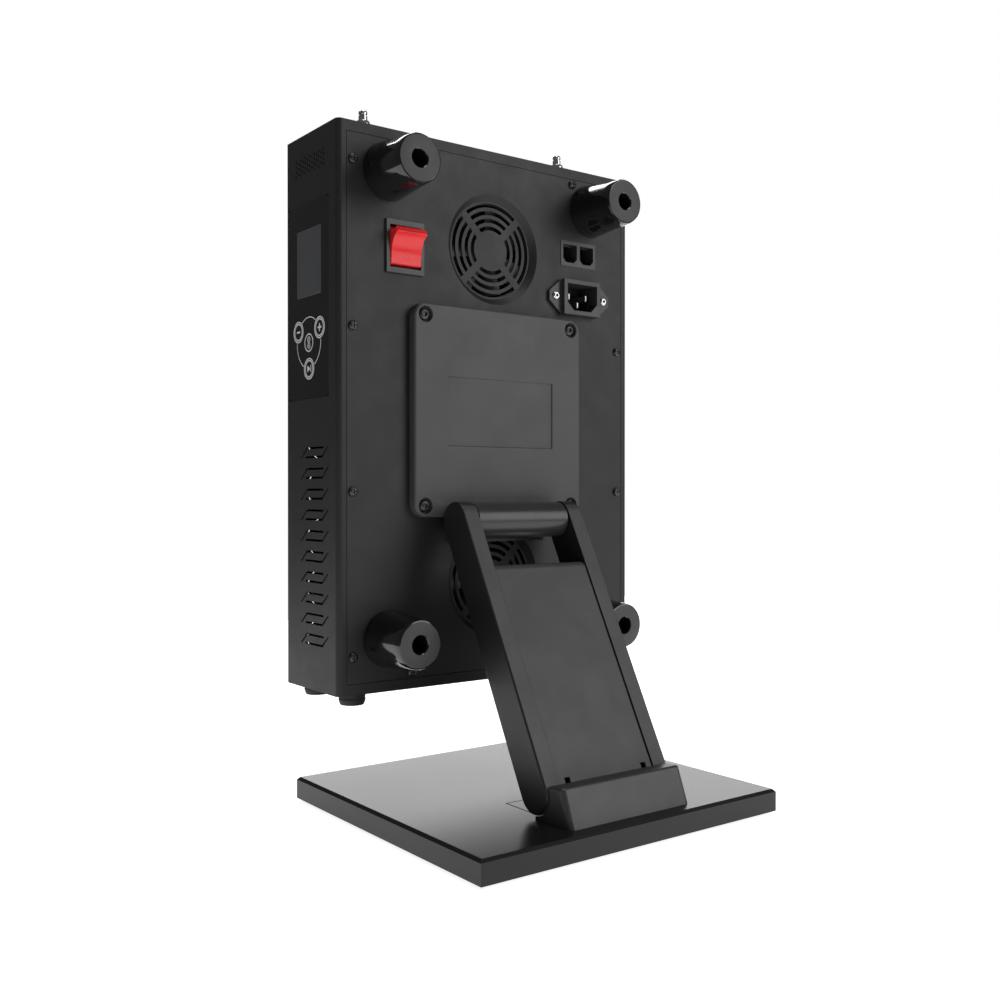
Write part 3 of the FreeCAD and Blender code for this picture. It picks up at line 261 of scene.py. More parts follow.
finishes = {
    # each has two colours, a roughness span, its grain and the shader's fixed sockets
    "powderCoatBlack": {"colours": ((0.01523, 0.01523, 0.01595), (0.01957, 0.01957, 0.0203)),
                        "roughness": (0.40, 0.50), "grainScale": 1600, "grain": 0.22,
                        "grainDepth": 0.00012, "fixed": {"Specular IOR Level": 0.35}},
    "rearPlateBlack": {"colours": ((0.0085, 0.0085, 0.009), (0.011, 0.011, 0.0115)),
                       "roughness": (0.46, 0.56), "grainScale": 1700, "grain": 0.22,
                       "grainDepth": 0.00012},
    "mountPlateGrey": {"colours": ((0.054, 0.054, 0.05535), (0.06345, 0.06345, 0.0648)),
                       "roughness": (0.46, 0.56), "grainScale": 2200, "grain": 0.3,
                       "grainDepth": 0.0001},
    "armSatinBlack": {"colours": ((0.012, 0.012, 0.0125), (0.016, 0.016, 0.0165)),
                      "roughness": (0.30, 0.38), "grainScale": 1900, "grain": 0.12,
                      "grainDepth": 0.00008, "fixed": {"Specular IOR Level": 0.35}},
    "coverSatinGrey": {"colours": ((0.0396, 0.0396, 0.0407), (0.0473, 0.0473, 0.0484)),
                       "roughness": (0.42, 0.52), "grainScale": 2200, "grain": 0.24,
                       "grainDepth": 0.0001},
    "barrelSatinBlack": {"colours": ((0.027, 0.027, 0.02775), (0.0345, 0.0345, 0.03525)),
                         "roughness": (0.26, 0.34), "grainScale": 1900, "grain": 0.1,
                         "grainDepth": 0.00008},
    "baseGlossBlack": {"colours": ((0.010, 0.010, 0.0105), (0.0125, 0.0125, 0.013)),
                       "roughness": (0.25, 0.275), "smearScale": 9, "grainScale": 900,
                       "grain": 0.02, "grainDepth": 0.00005,
                       "fixed": {"Specular IOR Level": 0.3}},
    "blockSatinBlack": {"colours": ((0.030, 0.030, 0.031), (0.036, 0.036, 0.037)),
                        "roughness": (0.36, 0.44), "grainScale": 2000, "grain": 0.16,
                        "grainDepth": 0.0001},
    "bumperGlossBlack": {"colours": ((0.006, 0.006, 0.0065), (0.009, 0.009, 0.0095)),
                         "roughness": (0.09, 0.15), "grainScale": 700, "grain": 0.03,
                         "grainDepth": 0.0001, "fixed": {"Coat Weight": 0.4}},
    "bumperMatteEnd": {"colours": ((0.048, 0.048, 0.049), (0.058, 0.058, 0.059)),
                       "roughness": (0.5, 0.62), "grainScale": 1500, "grain": 0.3,
                       "grainDepth": 0.00015},
    "controlFilmBlack": {"colours": ((0.0055, 0.0055, 0.006), (0.0075, 0.0075, 0.008)),
                         "roughness": (0.10, 0.2), "smearScale": 40, "grain": 0.02,
                         "grainDepth": 0.00005},
    "displayGlassGrey": {"colours": ((0.057, 0.0589, 0.0627), (0.076, 0.0779, 0.0817)),
                         "driftScale": 9, "roughness": (0.12, 0.2), "grain": 0.02,
                         "grainDepth": 0.00005},
    "printedGrey": {"colours": ((0.7, 0.7, 0.71), (0.8, 0.8, 0.81)),
                    "roughness": (0.4, 0.55), "grain": 0.1, "grainDepth": 0.00005},
    "rockerRed": {"colours": ((0.86, 0.022, 0.026), (0.93, 0.032, 0.036)),
                  "roughness": (0.22, 0.32), "grainScale": 1200, "grain": 0.05,
                  "grainDepth": 0.0001, "fixed": {"Subsurface Weight": 0.12,
                                                  "Subsurface Scale": 0.002}},
    "switchBlack": {"colours": ((0.030, 0.030, 0.031), (0.038, 0.038, 0.039)),
                    "roughness": (0.3, 0.4), "grainScale": 2400, "grain": 0.2,
                    "grainDepth": 0.00008},
    "socketBlack": {"colours": ((0.026, 0.026, 0.027), (0.034, 0.034, 0.035)),
                    "roughness": (0.34, 0.44), "grainScale": 2400, "grain": 0.2,
                    "grainDepth": 0.00008},
    "rubberBlack": {"colours": ((0.010, 0.010, 0.0105), (0.018, 0.018, 0.018)),
                    "roughness": (0.66, 0.8), "grainScale": 1000, "grain": 0.4,
                    "grainDepth": 0.0002},
    "fanBlack": {"colours": ((0.010, 0.010, 0.0105), (0.014, 0.014, 0.0145)),
                 "roughness": (0.36, 0.5), "grainScale": 1800, "grain": 0.2,
                 "grainDepth": 0.0001},
    "frontMatteBlack": {"colours": ((0.010, 0.010, 0.0105), (0.013, 0.013, 0.0135)),
                        "roughness": (0.5, 0.6), "grainScale": 1600, "grain": 0.25,
                        "grainDepth": 0.00012},
    "polishedNickel": {"colours": ((0.62, 0.62, 0.63), (0.72, 0.72, 0.73)),
                       "roughness": (0.12, 0.2), "grainScale": 900, "grain": 0.03,
                       "grainDepth": 0.00005, "fixed": {"Metallic": 1.0}},
    "blackOxide": {"colours": ((0.0525, 0.0525, 0.0555), (0.09, 0.09, 0.0945)),
                   "driftScale": 300, "roughness": (0.3, 0.42), "grainScale": 3000,
                   "grain": 0.12, "grainDepth": 0.00005, "fixed": {"Metallic": 0.9}},
    "groundSteel": {"colours": ((0.36, 0.36, 0.37), (0.46, 0.46, 0.47)),
                    "roughness": (0.26, 0.36), "grainScale": 2600, "grain": 0.1,
                    "grainDepth": 0.00005, "fixed": {"Metallic": 1.0}},
    "castAluminium": {"colours": ((0.48, 0.48, 0.49), (0.58, 0.58, 0.6)),
                      "roughness": (0.34, 0.46), "grainScale": 1600, "grain": 0.2,
                      "grainDepth": 0.0001, "fixed": {"Metallic": 1.0}},
    "platedBrass": {"colours": ((0.16, 0.12, 0.05), (0.21, 0.16, 0.07)),
                    "roughness": (0.22, 0.32), "grainScale": 1600, "grain": 0.06,
                    "grainDepth": 0.00005, "fixed": {"Metallic": 1.0}},
    "boardGreen": {"colours": ((0.012, 0.075, 0.035), (0.018, 0.11, 0.05)), "driftScale": 260,
                   "roughness": (0.28, 0.4), "grainScale": 1200, "grain": 0.1,
                   "grainDepth": 0.0001},
    "clearAcrylic": {"colours": ((0.94, 0.95, 0.96), (0.98, 0.98, 0.99)), "driftScale": 6,
                     "roughness": (0.04, 0.09), "grainScale": 400, "grain": 0.02,
                     "grainDepth": 0.0001, "fixed": {"Transmission Weight": 0.92, "IOR": 1.49}},
    "ledAmber": {"colours": ((0.66, 0.46, 0.10), (0.8, 0.6, 0.16)), "roughness": (0.4, 0.55),
                 "grainScale": 1800, "grain": 0.2, "grainDepth": 0.0001},
}
looks = {name: finish(name, look) for name, look in finishes.items()}

# the finish of each material slot; every CAD node is painted by its own
slotLooks = {
    "housing_black": "powderCoatBlack", "rear_black": "rearPlateBlack",
    "front_black": "frontMatteBlack", "lens_clear": "displayGlassGrey", "led_yellow": "ledAmber",
    "board_green": "boardGreen", "heat_sink_metal": "castAluminium",
    "driver_case": "castAluminium", "display_body": "switchBlack",
    "display_glass": "displayGlassGrey", "control_gloss": "controlFilmBlack",
    "fan_plastic": "fanBlack", "dark_screws": "blackOxide", "switch_black": "switchBlack",
    "rocker_red": "rockerRed", "contact_brass": "platedBrass", "socket_black": "socketBlack",
    "bright_metal": "polishedNickel", "standoff_gloss": "bumperGlossBlack",
    "mount_grey": "mountPlateGrey", "barrel_black": "barrelSatinBlack",
    "hanger_chrome": "polishedNickel", "arm_black": "armSatinBlack",
    "cover_black": "coverSatinGrey", "shaft_steel": "groundSteel", "washer_dark": "fanBlack",
    "base_gloss": "baseGlossBlack", "inlay_gloss": "baseGlossBlack",
    "block_black": "blockSatinBlack", "foot_rubber": "rubberBlack",
}
for part in frame["record"]["subparts"]:
    paint(nodes[part["node"]], looks[slotLooks[part["material_slot"]]])
print("materials made:", len(looks))


# more helpers for shaping

def mergedCopy(name, node):
    # a copy of a CAD node, welded and with its flat faces made whole, ready to be shaped further
    piece = nodes[node].copy()
    piece.data = nodes[node].data.copy()
    piece.parent = None
    for key in list(piece.keys()):
        del piece[key]
    bpy.context.scene.collection.objects.link(piece)
    piece.name = name
    activate(piece)
    bpy.ops.mesh.customdata_custom_splitnormals_clear()
    bpy.ops.object.mode_set(mode="EDIT")
    bpy.ops.mesh.select_all(action="SELECT")
    bpy.ops.mesh.remove_doubles(threshold=0.000002)
    bpy.ops.mesh.dissolve_limited(angle_limit=math.radians(0.6))
    doneEditing()
    return piece


def edged(piece, width=0.4, segments=2, angle=32, smoothAngle=42):
    # soft machined or moulded edges, with the flat faces kept flat in shading
    bevelled(piece, width * mm, segments, angle)
    smoothed(piece, smoothAngle)
    applyModifier(piece, "WEIGHTED_NORMAL", keep_sharp=True, weight=80)
    return piece


def markFaces(piece, index, test):
    for polygon in piece.data.polygons:
        if test(polygon):
            polygon.material_index = index


def cutWith(piece, tool):
    applyModifier(piece, "BOOLEAN", operation="DIFFERENCE", solver="EXACT", object=tool)
    bpy.data.objects.remove(tool)
    return piece


def slab(name, width, depth, height, place, corner=0.3):
    # a small block with rounded edges, sizes and place in mm
    deselectAll()
    bpy.ops.mesh.primitive_cube_add(size=1, location=Vector(place) * mm,
                                    scale=(width * mm, depth * mm, height * mm))
    piece = settled(bpy.context.object)
    piece.name = name
    return bevelled(piece, corner * mm, 2) if corner else piece


def screwHead(name, radius, height, shank, drive):
    # a pan head made along Z from its seat at the origin, with its drive cut into the top: a cross
    # of two bars, or a hex socket
    piece = turned(name, [(shank, -2.5), (shank, -0.02), (radius, 0), (radius, 0.35 * height),
                          (0.95 * radius, 0.62 * height), (0.8 * radius, 0.86 * height),
                          (0.55 * radius, height), (0.2 * radius, 1.02 * height)], 40)
    if drive == "cross":
        bars = [slab("crossBar", long * radius, wide * radius, height, (0, 0, 0.95 * height), 0)
                for long, wide in ((1.1, 0.24), (0.24, 1.1))]
        for bar in bars:
            cutWith(piece, bar)
    else:
        deselectAll()
        bpy.ops.mesh.primitive_cylinder_add(vertices=6, radius=0.42 * radius * mm,
                                            depth=1.2 * height * mm,
                                            location=(0, 0, 0.95 * height * mm))
        cutWith(piece, settled(bpy.context.object))
    bevelled(piece, 0.06 * mm, 1, 40)
    return smoothed(piece, 50)


def aimedRear(piece):
    piece.rotation_euler = faceRear
    return settled(piece)


# stand: base plate, feet, hinge block, arms and covers

standEdges = {"base": 0.5, "block": 0.7, "arm": 0.5, "cover": 0.35}


def buildStand():
    base = edged(mergedCopy("basePlateFinished", "base_plate"), standEdges["base"], 3)
    paint(base, looks["baseGlossBlack"])
    fitted(base, "stand_base", "base_plate")
    block = edged(mergedCopy("hingeBlockFinished", "hinge_block"), standEdges["block"], 3, 25)
    paint(block, looks["blockSatinBlack"])
    fitted(block, "stand_base", "hinge_block")
    for side in ("left", "right"):
        arm = edged(mergedCopy("armFinished_" + side, "arm_" + side), standEdges["arm"], 2)
        paint(arm, looks["armSatinBlack"], looks["coverSatinGrey"])
        markFaces(arm, 1, lambda polygon: abs(polygon.normal.x) < 0.5 and polygon.normal.y > 0.6)
        fitted(arm, "stand_arm", "arm_" + side)
    for side in ("rear", "front"):
        cover = edged(mergedCopy("armCoverFinished_" + side, "arm_cover_" + side),
                      standEdges["cover"], 2)
        paint(cover, looks["coverSatinGrey"])
        fitted(cover, "stand_arm", "arm_cover_" + side)
    barrel = edged(mergedCopy("headBarrelFinished", "head_barrel"), 0.5, 2)
    paint(barrel, looks["barrelSatinBlack"])
    fitted(barrel, "lamp_head", "head_barrel")


basePad = {"radius": 10, "height": 1.5}


def buildBasePads():
    # moulded pads: a domed rim, a shallow ring groove and a flat foot
    radius, height = basePad["radius"], basePad["height"]
    pad = turned("basePads", [(radius * 0.97, height), (radius, 0.8 * height),
                              (radius, 0.35 * height), (0.93 * radius, 0),
                              (0.72 * radius, 0), (0.68 * radius, 0.4),
                              (0.58 * radius, 0.4), (0.54 * radius, 0)], 48)
    low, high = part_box("base_feet")
    across, near, far = high.x - radius * mm, low.y + radius * mm, high.y - radius * mm
    pads = copiesAt("basePads", pad, [(sign * across, y, 0) for sign in (1, -1)
                                      for y in (near, far)])
    smoothed(pads)
    paint(pads, looks["rubberBlack"])
    fitted(pads, "stand_base", "base_feet")


panelFoot = {"radius": 8, "height": 7}


def buildPanelFeet():
    # stem, flared collar and a ribbed rubber sole with a screw well
    radius, height = panelFoot["radius"], panelFoot["height"]
    foot = turned("panelFeetFinished", [
        (radius, height), (radius, 0.9 * height), (0.95 * radius, 0.84 * height),
        (0.93 * radius, 0.5 * height), (0.96 * radius, 0.44 * height),
        (0.88 * radius, 0.12 * height), (0.82 * radius, 0), (0.4 * radius, 0),
        (0.36 * radius, 0.5 * height)], 48)
    low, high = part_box("panel_feet")
    across, near, far = high.x - radius * mm, low.y + radius * mm, high.y - radius * mm
    feet = copiesAt("panelFeetFinished", foot, [(sign * across, y, low.z) for sign in (1, -1)
                                                for y in (near, far)])
    smoothed(feet)
    paint(feet, looks["rubberBlack"])
    fitted(feet, "lamp_head", "panel_feet")


buildStand()
buildBasePads()
buildPanelFeet()
print("stand and feet built")


# panel: housing, back plate, mount plate and screws

def buildPanel():
    housing = edged(mergedCopy("housingFinished", "housing_shell"), 0.3, 2, 50)
    paint(housing, looks["powderCoatBlack"])
    fitted(housing, "lamp_head", "housing_shell")
    rear = edged(mergedCopy("backPlateFinished", "back_plate"), 0.45, 2, 24)
    paint(rear, looks["rearPlateBlack"])
    fitted(rear, "lamp_head", "back_plate")
    mount = edged(mergedCopy("mountPlateFinished", "mount_plate"), 0.5, 3)
    paint(mount, looks["mountPlateGrey"])
    fitted(mount, "lamp_head", "mount_plate")


rearScrews = {"radius": 2.75, "height": 1.7, "shank": 1.5, "sideX": 98,
              "sideHeights": (91, 182.7, 274.3, 366), "endX": 60, "endHeights": (79.5, 377.5)}
mountScrews = {"radius": 3.6, "height": 2.4, "shank": 2, "seatAbovePlate": 3}


def buildScrews():
    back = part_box("mount_plate")[0].y / mm
    points = [(sign * rearScrews["sideX"], back, z) for sign in (1, -1)
              for z in rearScrews["sideHeights"]]
    points += [(sign * rearScrews["endX"], back, z) for sign in (1, -1)
               for z in rearScrews["endHeights"]]
    head = aimedRear(screwHead("rearScrewHeads", rearScrews["radius"], rearScrews["height"],
                               rearScrews["shank"], "cross"))
    heads = copiesAt("rearScrewHeads", head, [Vector(point) * mm for point in points])
    paint(heads, looks["blackOxide"])
    fitted(heads, "lamp_head", "back_plate_screws")

    low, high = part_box("mount_screws")
    inset = Vector((mountScrews["radius"], 0, mountScrews["radius"])) * mm
    low, high = low + inset, high - inset
    seat = back * mm + mountScrews["seatAbovePlate"] * mm
    head = aimedRear(screwHead("mountScrewHeads", mountScrews["radius"], mountScrews["height"],
                               mountScrews["shank"], "hex"))
    heads = copiesAt("mountScrewHeads", head, [(x, seat, z) for x in (low.x, high.x)
                                               for z in (low.z, high.z)])
    paint(heads, looks["blackOxide"])
    fitted(heads, "lamp_head", "mount_screws")


buildPanel()
buildScrews()
print("panel built")


# rear fittings: bumpers, switch, inlet, jacks

bumper = {"base": 16.5, "end": 13.5, "length": 33, "bore": 5, "boreFloor": 9.6, "rim": 0.9,
          "seatFloor": 7, "seat": 3.8, "screw": 2.1}


def buildBumpers():
    # tapered bumper with a rolled rim, a flat matte end and a deep bore
    base, end, length = bumper["base"], bumper["end"], bumper["length"]
    bore, rim, seat, screw = bumper["bore"], bumper["rim"], bumper["seat"], bumper["screw"]
    floor, seatFloor = bumper["boreFloor"], bumper["seatFloor"]
    slope = (base - end) / length
    steps = [(screw, 0), (base - 0.5, 0), (base, 0.5), (end + slope * 6, length - 6),
             (end + slope * rim, length - rim), (end - 0.28 * rim, length - 0.28 * rim),
             (end - rim, length), (bore + 0.5, length), (bore, length - 0.5),
             (bore, floor), (seat, floor), (seat, seatFloor), (screw, seatFloor), (screw, 1)]
    pattern = aimedRear(turned("bumperPattern", steps, 96))
    smoothed(pattern, 35)
    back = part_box("mount_plate")[0].y
    for level in ("upper", "lower"):
        for side in ("left", "right"):
            node = "standoff_" + level + "_" + side
            centre = middle(node)
            piece = copyTo(pattern, Vector((centre.x, back, centre.z)))
            piece.name = "bumper_" + level + "_" + side
            smoothed(piece, 35)
            paint(piece, looks["bumperGlossBlack"], looks["bumperMatteEnd"])
            face = back + length * mm - 0.00001
            markFaces(piece, 1, lambda polygon: polygon.center.y > face)
            fitted(piece, "lamp_head", node)
    bpy.data.objects.remove(pattern)


rockerEdge = {"width": 0.45, "segments": 3, "angle": 38, "smoothAngle": 60}


def buildSwitch():
    rocker = mergedCopy("switchRockerFinished", "switch_rocker")
    edged(rocker, rockerEdge["width"], rockerEdge["segments"], rockerEdge["angle"],
          rockerEdge["smoothAngle"])
    paint(rocker, looks["rockerRed"])
    fitted(rocker, "rocker", "switch_rocker")
    bezel = edged(mergedCopy("switchBezelFinished", "switch_housing"), 0.35, 2)
    paint(bezel, looks["switchBlack"])
    fitted(bezel, "lamp_head", "switch_housing")


# pin places are across and up from the socket's middle
inletPin = {"thick": 1.6, "height": 4, "length": 14, "places": ((-7, 1), (0, -4), (7, 1))}
inletScrew = {"radius": 2.6, "height": 1.5, "earThick": 2}


def buildInlet():
    inlet = edged(mergedCopy("powerInletFinished", "power_inlet"), 0.4, 2)
    paint(inlet, looks["socketBlack"])
    fitted(inlet, "lamp_head", "power_inlet")
    low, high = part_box("inlet_pins")
    centre = middle("power_inlet")
    pins = []
    for across, up in inletPin["places"]:
        pin = slab("pin", inletPin["thick"], inletPin["length"], inletPin["height"],
                   (centre.x / mm + across, (low.y + high.y) / 2 / mm, centre.z / mm + up), 0.35)
        pins.append(pin)
    blades = smoothed(joined("inletBlades", pins), 50)
    paint(blades, looks["groundSteel"])
    fitted(blades, "lamp_head", "inlet_pins")
    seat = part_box("mount_plate")[0].y + inletScrew["earThick"] * mm
    radius, height = inletScrew["radius"], inletScrew["height"]
    head = turned("inletScrewHeads", [(1.5, -2), (1.5, -0.02), (radius, 0), (radius, 0.5),
                                      (2.35, 1), (1.9, 1.4), (1.25, height), (1, 1.4),
                                      (0.85, 0.3)], 40)
    aimedRear(head)
    screwLow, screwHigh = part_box("inlet_screws")
    places = [(x, seat, centre.z) for x in (screwLow.x + radius * mm, screwHigh.x - radius * mm)]
    heads = smoothed(copiesAt("inletScrewHeads", head, places), 50)
    paint(heads, looks["polishedNickel"], looks["switchBlack"])
    # the floor of each screw's socket takes the dark second material: painted shade in the recess
    markFaces(heads, 1, lambda polygon: polygon.normal.y > 0.9 and polygon.center.y < seat + 0.0005)
    fitted(heads, "lamp_head", "inlet_screws")


def buildJacks():
    jacks = edged(mergedCopy("jackModuleFinished", "jack_module"), 0.3, 2)
    paint(jacks, looks["socketBlack"])
    fitted(jacks, "lamp_head", "jack_module")


buildBumpers()
buildSwitch()
buildInlet()
buildJacks()
print("rear fittings built")


# touch controls on the +X side, places as (y, z) in mm

controls = {
    "bigRing": 14.8, "bigLine": 0.55, "middle": (-66.35, 267.6),
    "buttons": {"minus": (-79.35, 274.8), "plus": (-53.35, 274.9), "play": (-66.15, 252.7)},
    "outerRing": 6.2, "innerRing": 5.0, "ringLine": 0.75, "ringClear": 0.6, "iconRing": 5.3,
    "eye": 1.75, "eyeHole": 1.25, "pupil": 0.55, "barLength": 4.4, "barWidth": 1.1,
    "sunk": 0.05, "thick": 0.04,
}


def flatShape(sides, radius, place, hole=0):
    # a thin disc or ring standing on the control side, radius and (y, z) in mm
    deselectAll()
    at = Vector((0, place[0], place[1])) * mm
    bpy.ops.mesh.primitive_circle_add(vertices=sides, radius=radius * mm, location=at,
                                      rotation=(0, math.pi / 2, 0),
                                      fill_type="NOTHING" if hole else "NGON")
    shape = settled(bpy.context.object)
    if hole:
        activate(shape)
        bpy.ops.object.mode_set(mode="EDIT")
        bpy.ops.mesh.select_mode(type="VERT")
        bpy.ops.mesh.select_all(action="SELECT")
        bpy.ops.mesh.extrude_region_move()
        scale = hole / radius
        bpy.ops.transform.resize(value=(scale, scale, scale), center_override=at)
        doneEditing()
    return shape


def flatBar(width, height, place):
    deselectAll()
    bpy.ops.mesh.primitive_plane_add(size=1, location=Vector((0, place[0], place[1])) * mm,
                                     rotation=(0, math.pi / 2, 0))
    bar = bpy.context.object
    bar.scale = (height * mm, width * mm, 1)
    settled(bar)
    activate(bar)
    bpy.ops.object.mode_set(mode="EDIT")
    bpy.ops.mesh.select_all(action="SELECT")
    bpy.ops.mesh.bevel(offset=0.3 * min(width, height) * mm, segments=3, affect="VERTICES")
    doneEditing()
    return bar


def buildControls():
    wall = cadBox[1].x
    film = mergedCopy("controlFilm", "touch_overlay")
    film.location.x = -controls["sunk"] * mm
    settled(film)
    smoothed(film, 30)
    paint(film, looks["controlFilmBlack"])
    fitted(film, "lamp_head", "touch_overlay")

    places = list(controls["buttons"].values())
    ring = flatShape(128, controls["bigRing"], controls["middle"],
                     controls["bigRing"] - controls["bigLine"])
    clear = (controls["outerRing"] + controls["ringClear"]) * mm

    def nearButton(polygon):
        return any((Vector((polygon.center.y, polygon.center.z)) - Vector(place) * mm).length < clear
                   for place in places)

    editFaces(ring, nearButton)
    bpy.ops.mesh.delete(type="FACE")
    doneEditing()
    shapes = [ring]
    for place in places:
        for radius in (controls["outerRing"], controls["innerRing"]):
            shapes.append(flatShape(64, radius, place, radius - controls["ringLine"]))
    shapes.append(flatShape(64, controls["iconRing"], controls["middle"],
                            controls["iconRing"] - controls["ringLine"]))
    centreY, centreZ = controls["middle"]
    for up in (controls["eye"], -controls["eye"]):
        shapes.append(flatShape(32, controls["eye"], (centreY, centreZ + up), controls["eyeHole"]))
        shapes.append(flatShape(16, controls["pupil"], (centreY, centreZ + up)))
    barLength, barWidth = controls["barLength"], controls["barWidth"]
    minusY, minusZ = controls["buttons"]["minus"]
    shapes.append(flatBar(barLength, barWidth, (minusY, minusZ)))
    plusY, plusZ = controls["buttons"]["plus"]
    shapes += [flatBar(barLength, barWidth, (plusY, plusZ)),
               flatBar(barWidth, 1.75, (plusY, plusZ + 1.4)),
               flatBar(barWidth, 1.75, (plusY, plusZ - 1.4))]
    playY, playZ = controls["buttons"]["play"]
    shapes.append(flatShape(3, 2.3, (playY - 0.9, playZ)))
    shapes.append(flatBar(0.9, 4, (playY + 2.2, playZ)))
    marks = joined("controlPrint", shapes)
    marks.location.x = wall - (controls["sunk"] - 0.01) * mm
    settled(marks)
    applyModifier(marks, "SOLIDIFY", thickness=controls["thick"] * mm, offset=0)
    activate(marks)
    bpy.ops.object.mode_set(mode="EDIT")
    bpy.ops.mesh.select_all(action="SELECT")
    bpy.ops.mesh.normals_make_consistent(inside=False)
    doneEditing()
    paint(marks, looks["printedGrey"])
    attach(marks, "lamp_head")
    glass = edged(mergedCopy("displayGlass", "lcd_window"), 0.15, 1)
    paint(glass, looks["displayGlassGrey"])
    fitted(glass, "lamp_head", "lcd_window")


buildControls()
print("controls built")


# lamp side: lens domes in their cups, and the front plate

lens = {"radius": 12.5, "rim": 0.9, "crown": 4.2, "sink": 1.4, "setBack": 0.8, "seat": 1.2,
        "cup": 8.3, "sides": 28, "columns": 6, "rows": 10}


def buildLenses():
    # a stepped rim and a crowned lens in a cup, modelled once and copied over the grid; the cup
    # behind the front plate is painted matte black as painted shade for the lamp's dark inside
    radius, crown = lens["radius"], lens["crown"]
    steps = [(radius * 0.72, -lens["cup"]), (radius * 0.95, -lens["seat"]), (radius, -0.3),
             (radius, 0), (radius - lens["rim"], 0)]
    steps += [((radius - lens["rim"]) * math.cos(angle), crown * math.sin(angle) - lens["sink"])
              for angle in (0.35, 0.75, 1.15, 1.45)]
    dome = turned("lensDomes", steps, lens["sides"], (math.pi / 2, 0, 0))
    low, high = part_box("lens_array")
    front = cadBox[0].y + crown * mm - lens["setBack"] * mm
    columns, rows = lens["columns"], lens["rows"]
    stepX = (high.x - low.x - 2 * radius * mm) / (columns - 1)
    stepZ = (high.z - low.z - 2 * radius * mm) / (rows - 1)
    places = [(low.x + radius * mm + column * stepX, front, low.z + radius * mm + row * stepZ)
              for column in range(columns) for row in range(rows)]
    domes = smoothed(copiesAt("lensDomes", dome, places), 50)
    paint(domes, looks["clearAcrylic"], looks["frontMatteBlack"])
    # faces behind the front plate take the matte black: painted shade for the lamp's dark inside
    markFaces(domes, 1, lambda polygon: polygon.center.y > front + 0.1 * mm)
    fitted(domes, "lamp_head", "lens_array")
    frontPlate = edged(mergedCopy("frontPlateFinished", "front_plate"), 0.25, 1, 50)
    paint(frontPlate, looks["frontMatteBlack"])
    fitted(frontPlate, "lamp_head", "front_plate")


# fans behind the grilles: cambered blades on a crowned hub

fan = {"hub": 12, "tip": 27, "depth": 10, "blades": 7, "chord": 10.5, "thick": 1.1,
       "camber": 1.5, "rootPitch": 40, "twistStep": 4.2, "widenStep": 1.05, "steps": 5}


def fanBlade():
    # a strip is extruded outwards and turned flatter at each step, then given its thickness
    deselectAll()
    bpy.ops.mesh.primitive_grid_add(x_subdivisions=1, y_subdivisions=6, size=1)
    blade = bpy.context.object
    chord, steps = fan["chord"] * mm, fan["steps"]
    blade.scale = (0.4 * mm, chord, 1)
    settled(blade)
    blade.location = ((fan["hub"] - 0.8) * mm, 0, 0)
    settled(blade)
    for vertex in blade.data.vertices:
        vertex.co.z += fan["camber"] * mm * (1 - (2 * vertex.co.y / chord) ** 2)
    activate(blade)
    bpy.ops.object.mode_set(mode="EDIT")
    bpy.ops.mesh.select_all(action="DESELECT")
    doneEditing()
    outer = max(vertex.co.x for vertex in blade.data.vertices)
    for edge in blade.data.edges:
        edge.select = all(blade.data.vertices[index].co.x > outer - 0.00001
                          for index in edge.vertices)
    bpy.ops.object.mode_set(mode="EDIT")
    bpy.ops.mesh.select_mode(type="EDGE")
    reach = (fan["tip"] - fan["hub"]) / steps
    for step in range(steps):
        bpy.ops.mesh.extrude_region_move(TRANSFORM_OT_translate={"value": (reach * mm, 0, 0)})
        bpy.ops.transform.resize(value=(1, fan["widenStep"], 1))
        bpy.ops.transform.rotate(value=math.radians(fan["twistStep"]), orient_axis="X",
                                 center_override=(0, 0, 0))
    doneEditing()
    applyModifier(blade, "SOLIDIFY", thickness=fan["thick"] * mm, offset=0)
    blade.rotation_euler = (math.radians(fan["rootPitch"]), 0, 0)
    return settled(blade)


def buildFans():
    depth, hub = fan["depth"], fan["hub"]
    blade = fanBlade()
    blades = []
    for number in range(fan["blades"]):
        twin = blade.copy()
        twin.data = blade.data.copy()
        bpy.context.scene.collection.objects.link(twin)
        twin.rotation_euler = (0, 0, 2 * math.pi * number / fan["blades"])
        blades.append(settled(twin))
    bpy.data.objects.remove(blade)
    cap = turned("fanHub", [(hub * 0.8, -depth / 2), (hub, -depth / 2), (hub, depth * 0.32),
                            (hub * 0.93, depth * 0.43), (hub * 0.75, depth / 2),
                            (hub * 0.3, depth / 2), (hub * 0.26, depth * 0.46)], 48)
    pattern = aimedRear(joined("fanRotorPattern", [cap, *blades]))
    for level in ("upper", "lower"):
        node = "fan_rotor_" + level
        low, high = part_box(node)
        centre = Vector(((low.x + high.x) / 2, high.y - depth / 2 * mm, 0))
        centre.z = middle("fan_frame_" + level).z
        rotor = copyTo(pattern, centre)
        rotor.name = "fanRotor_" + level
        smoothed(rotor, 40)
        paint(rotor, looks["fanBlack"])
        fitted(rotor, level + "_rotor", node)
    bpy.data.objects.remove(pattern)


# cable grippers on top

gripper = {"radius": 4.25, "tall": 12.5, "stud": 3.4, "studDeep": 9, "plunger": 2.6, "out": 6.5,
           "plungerDeep": 12}


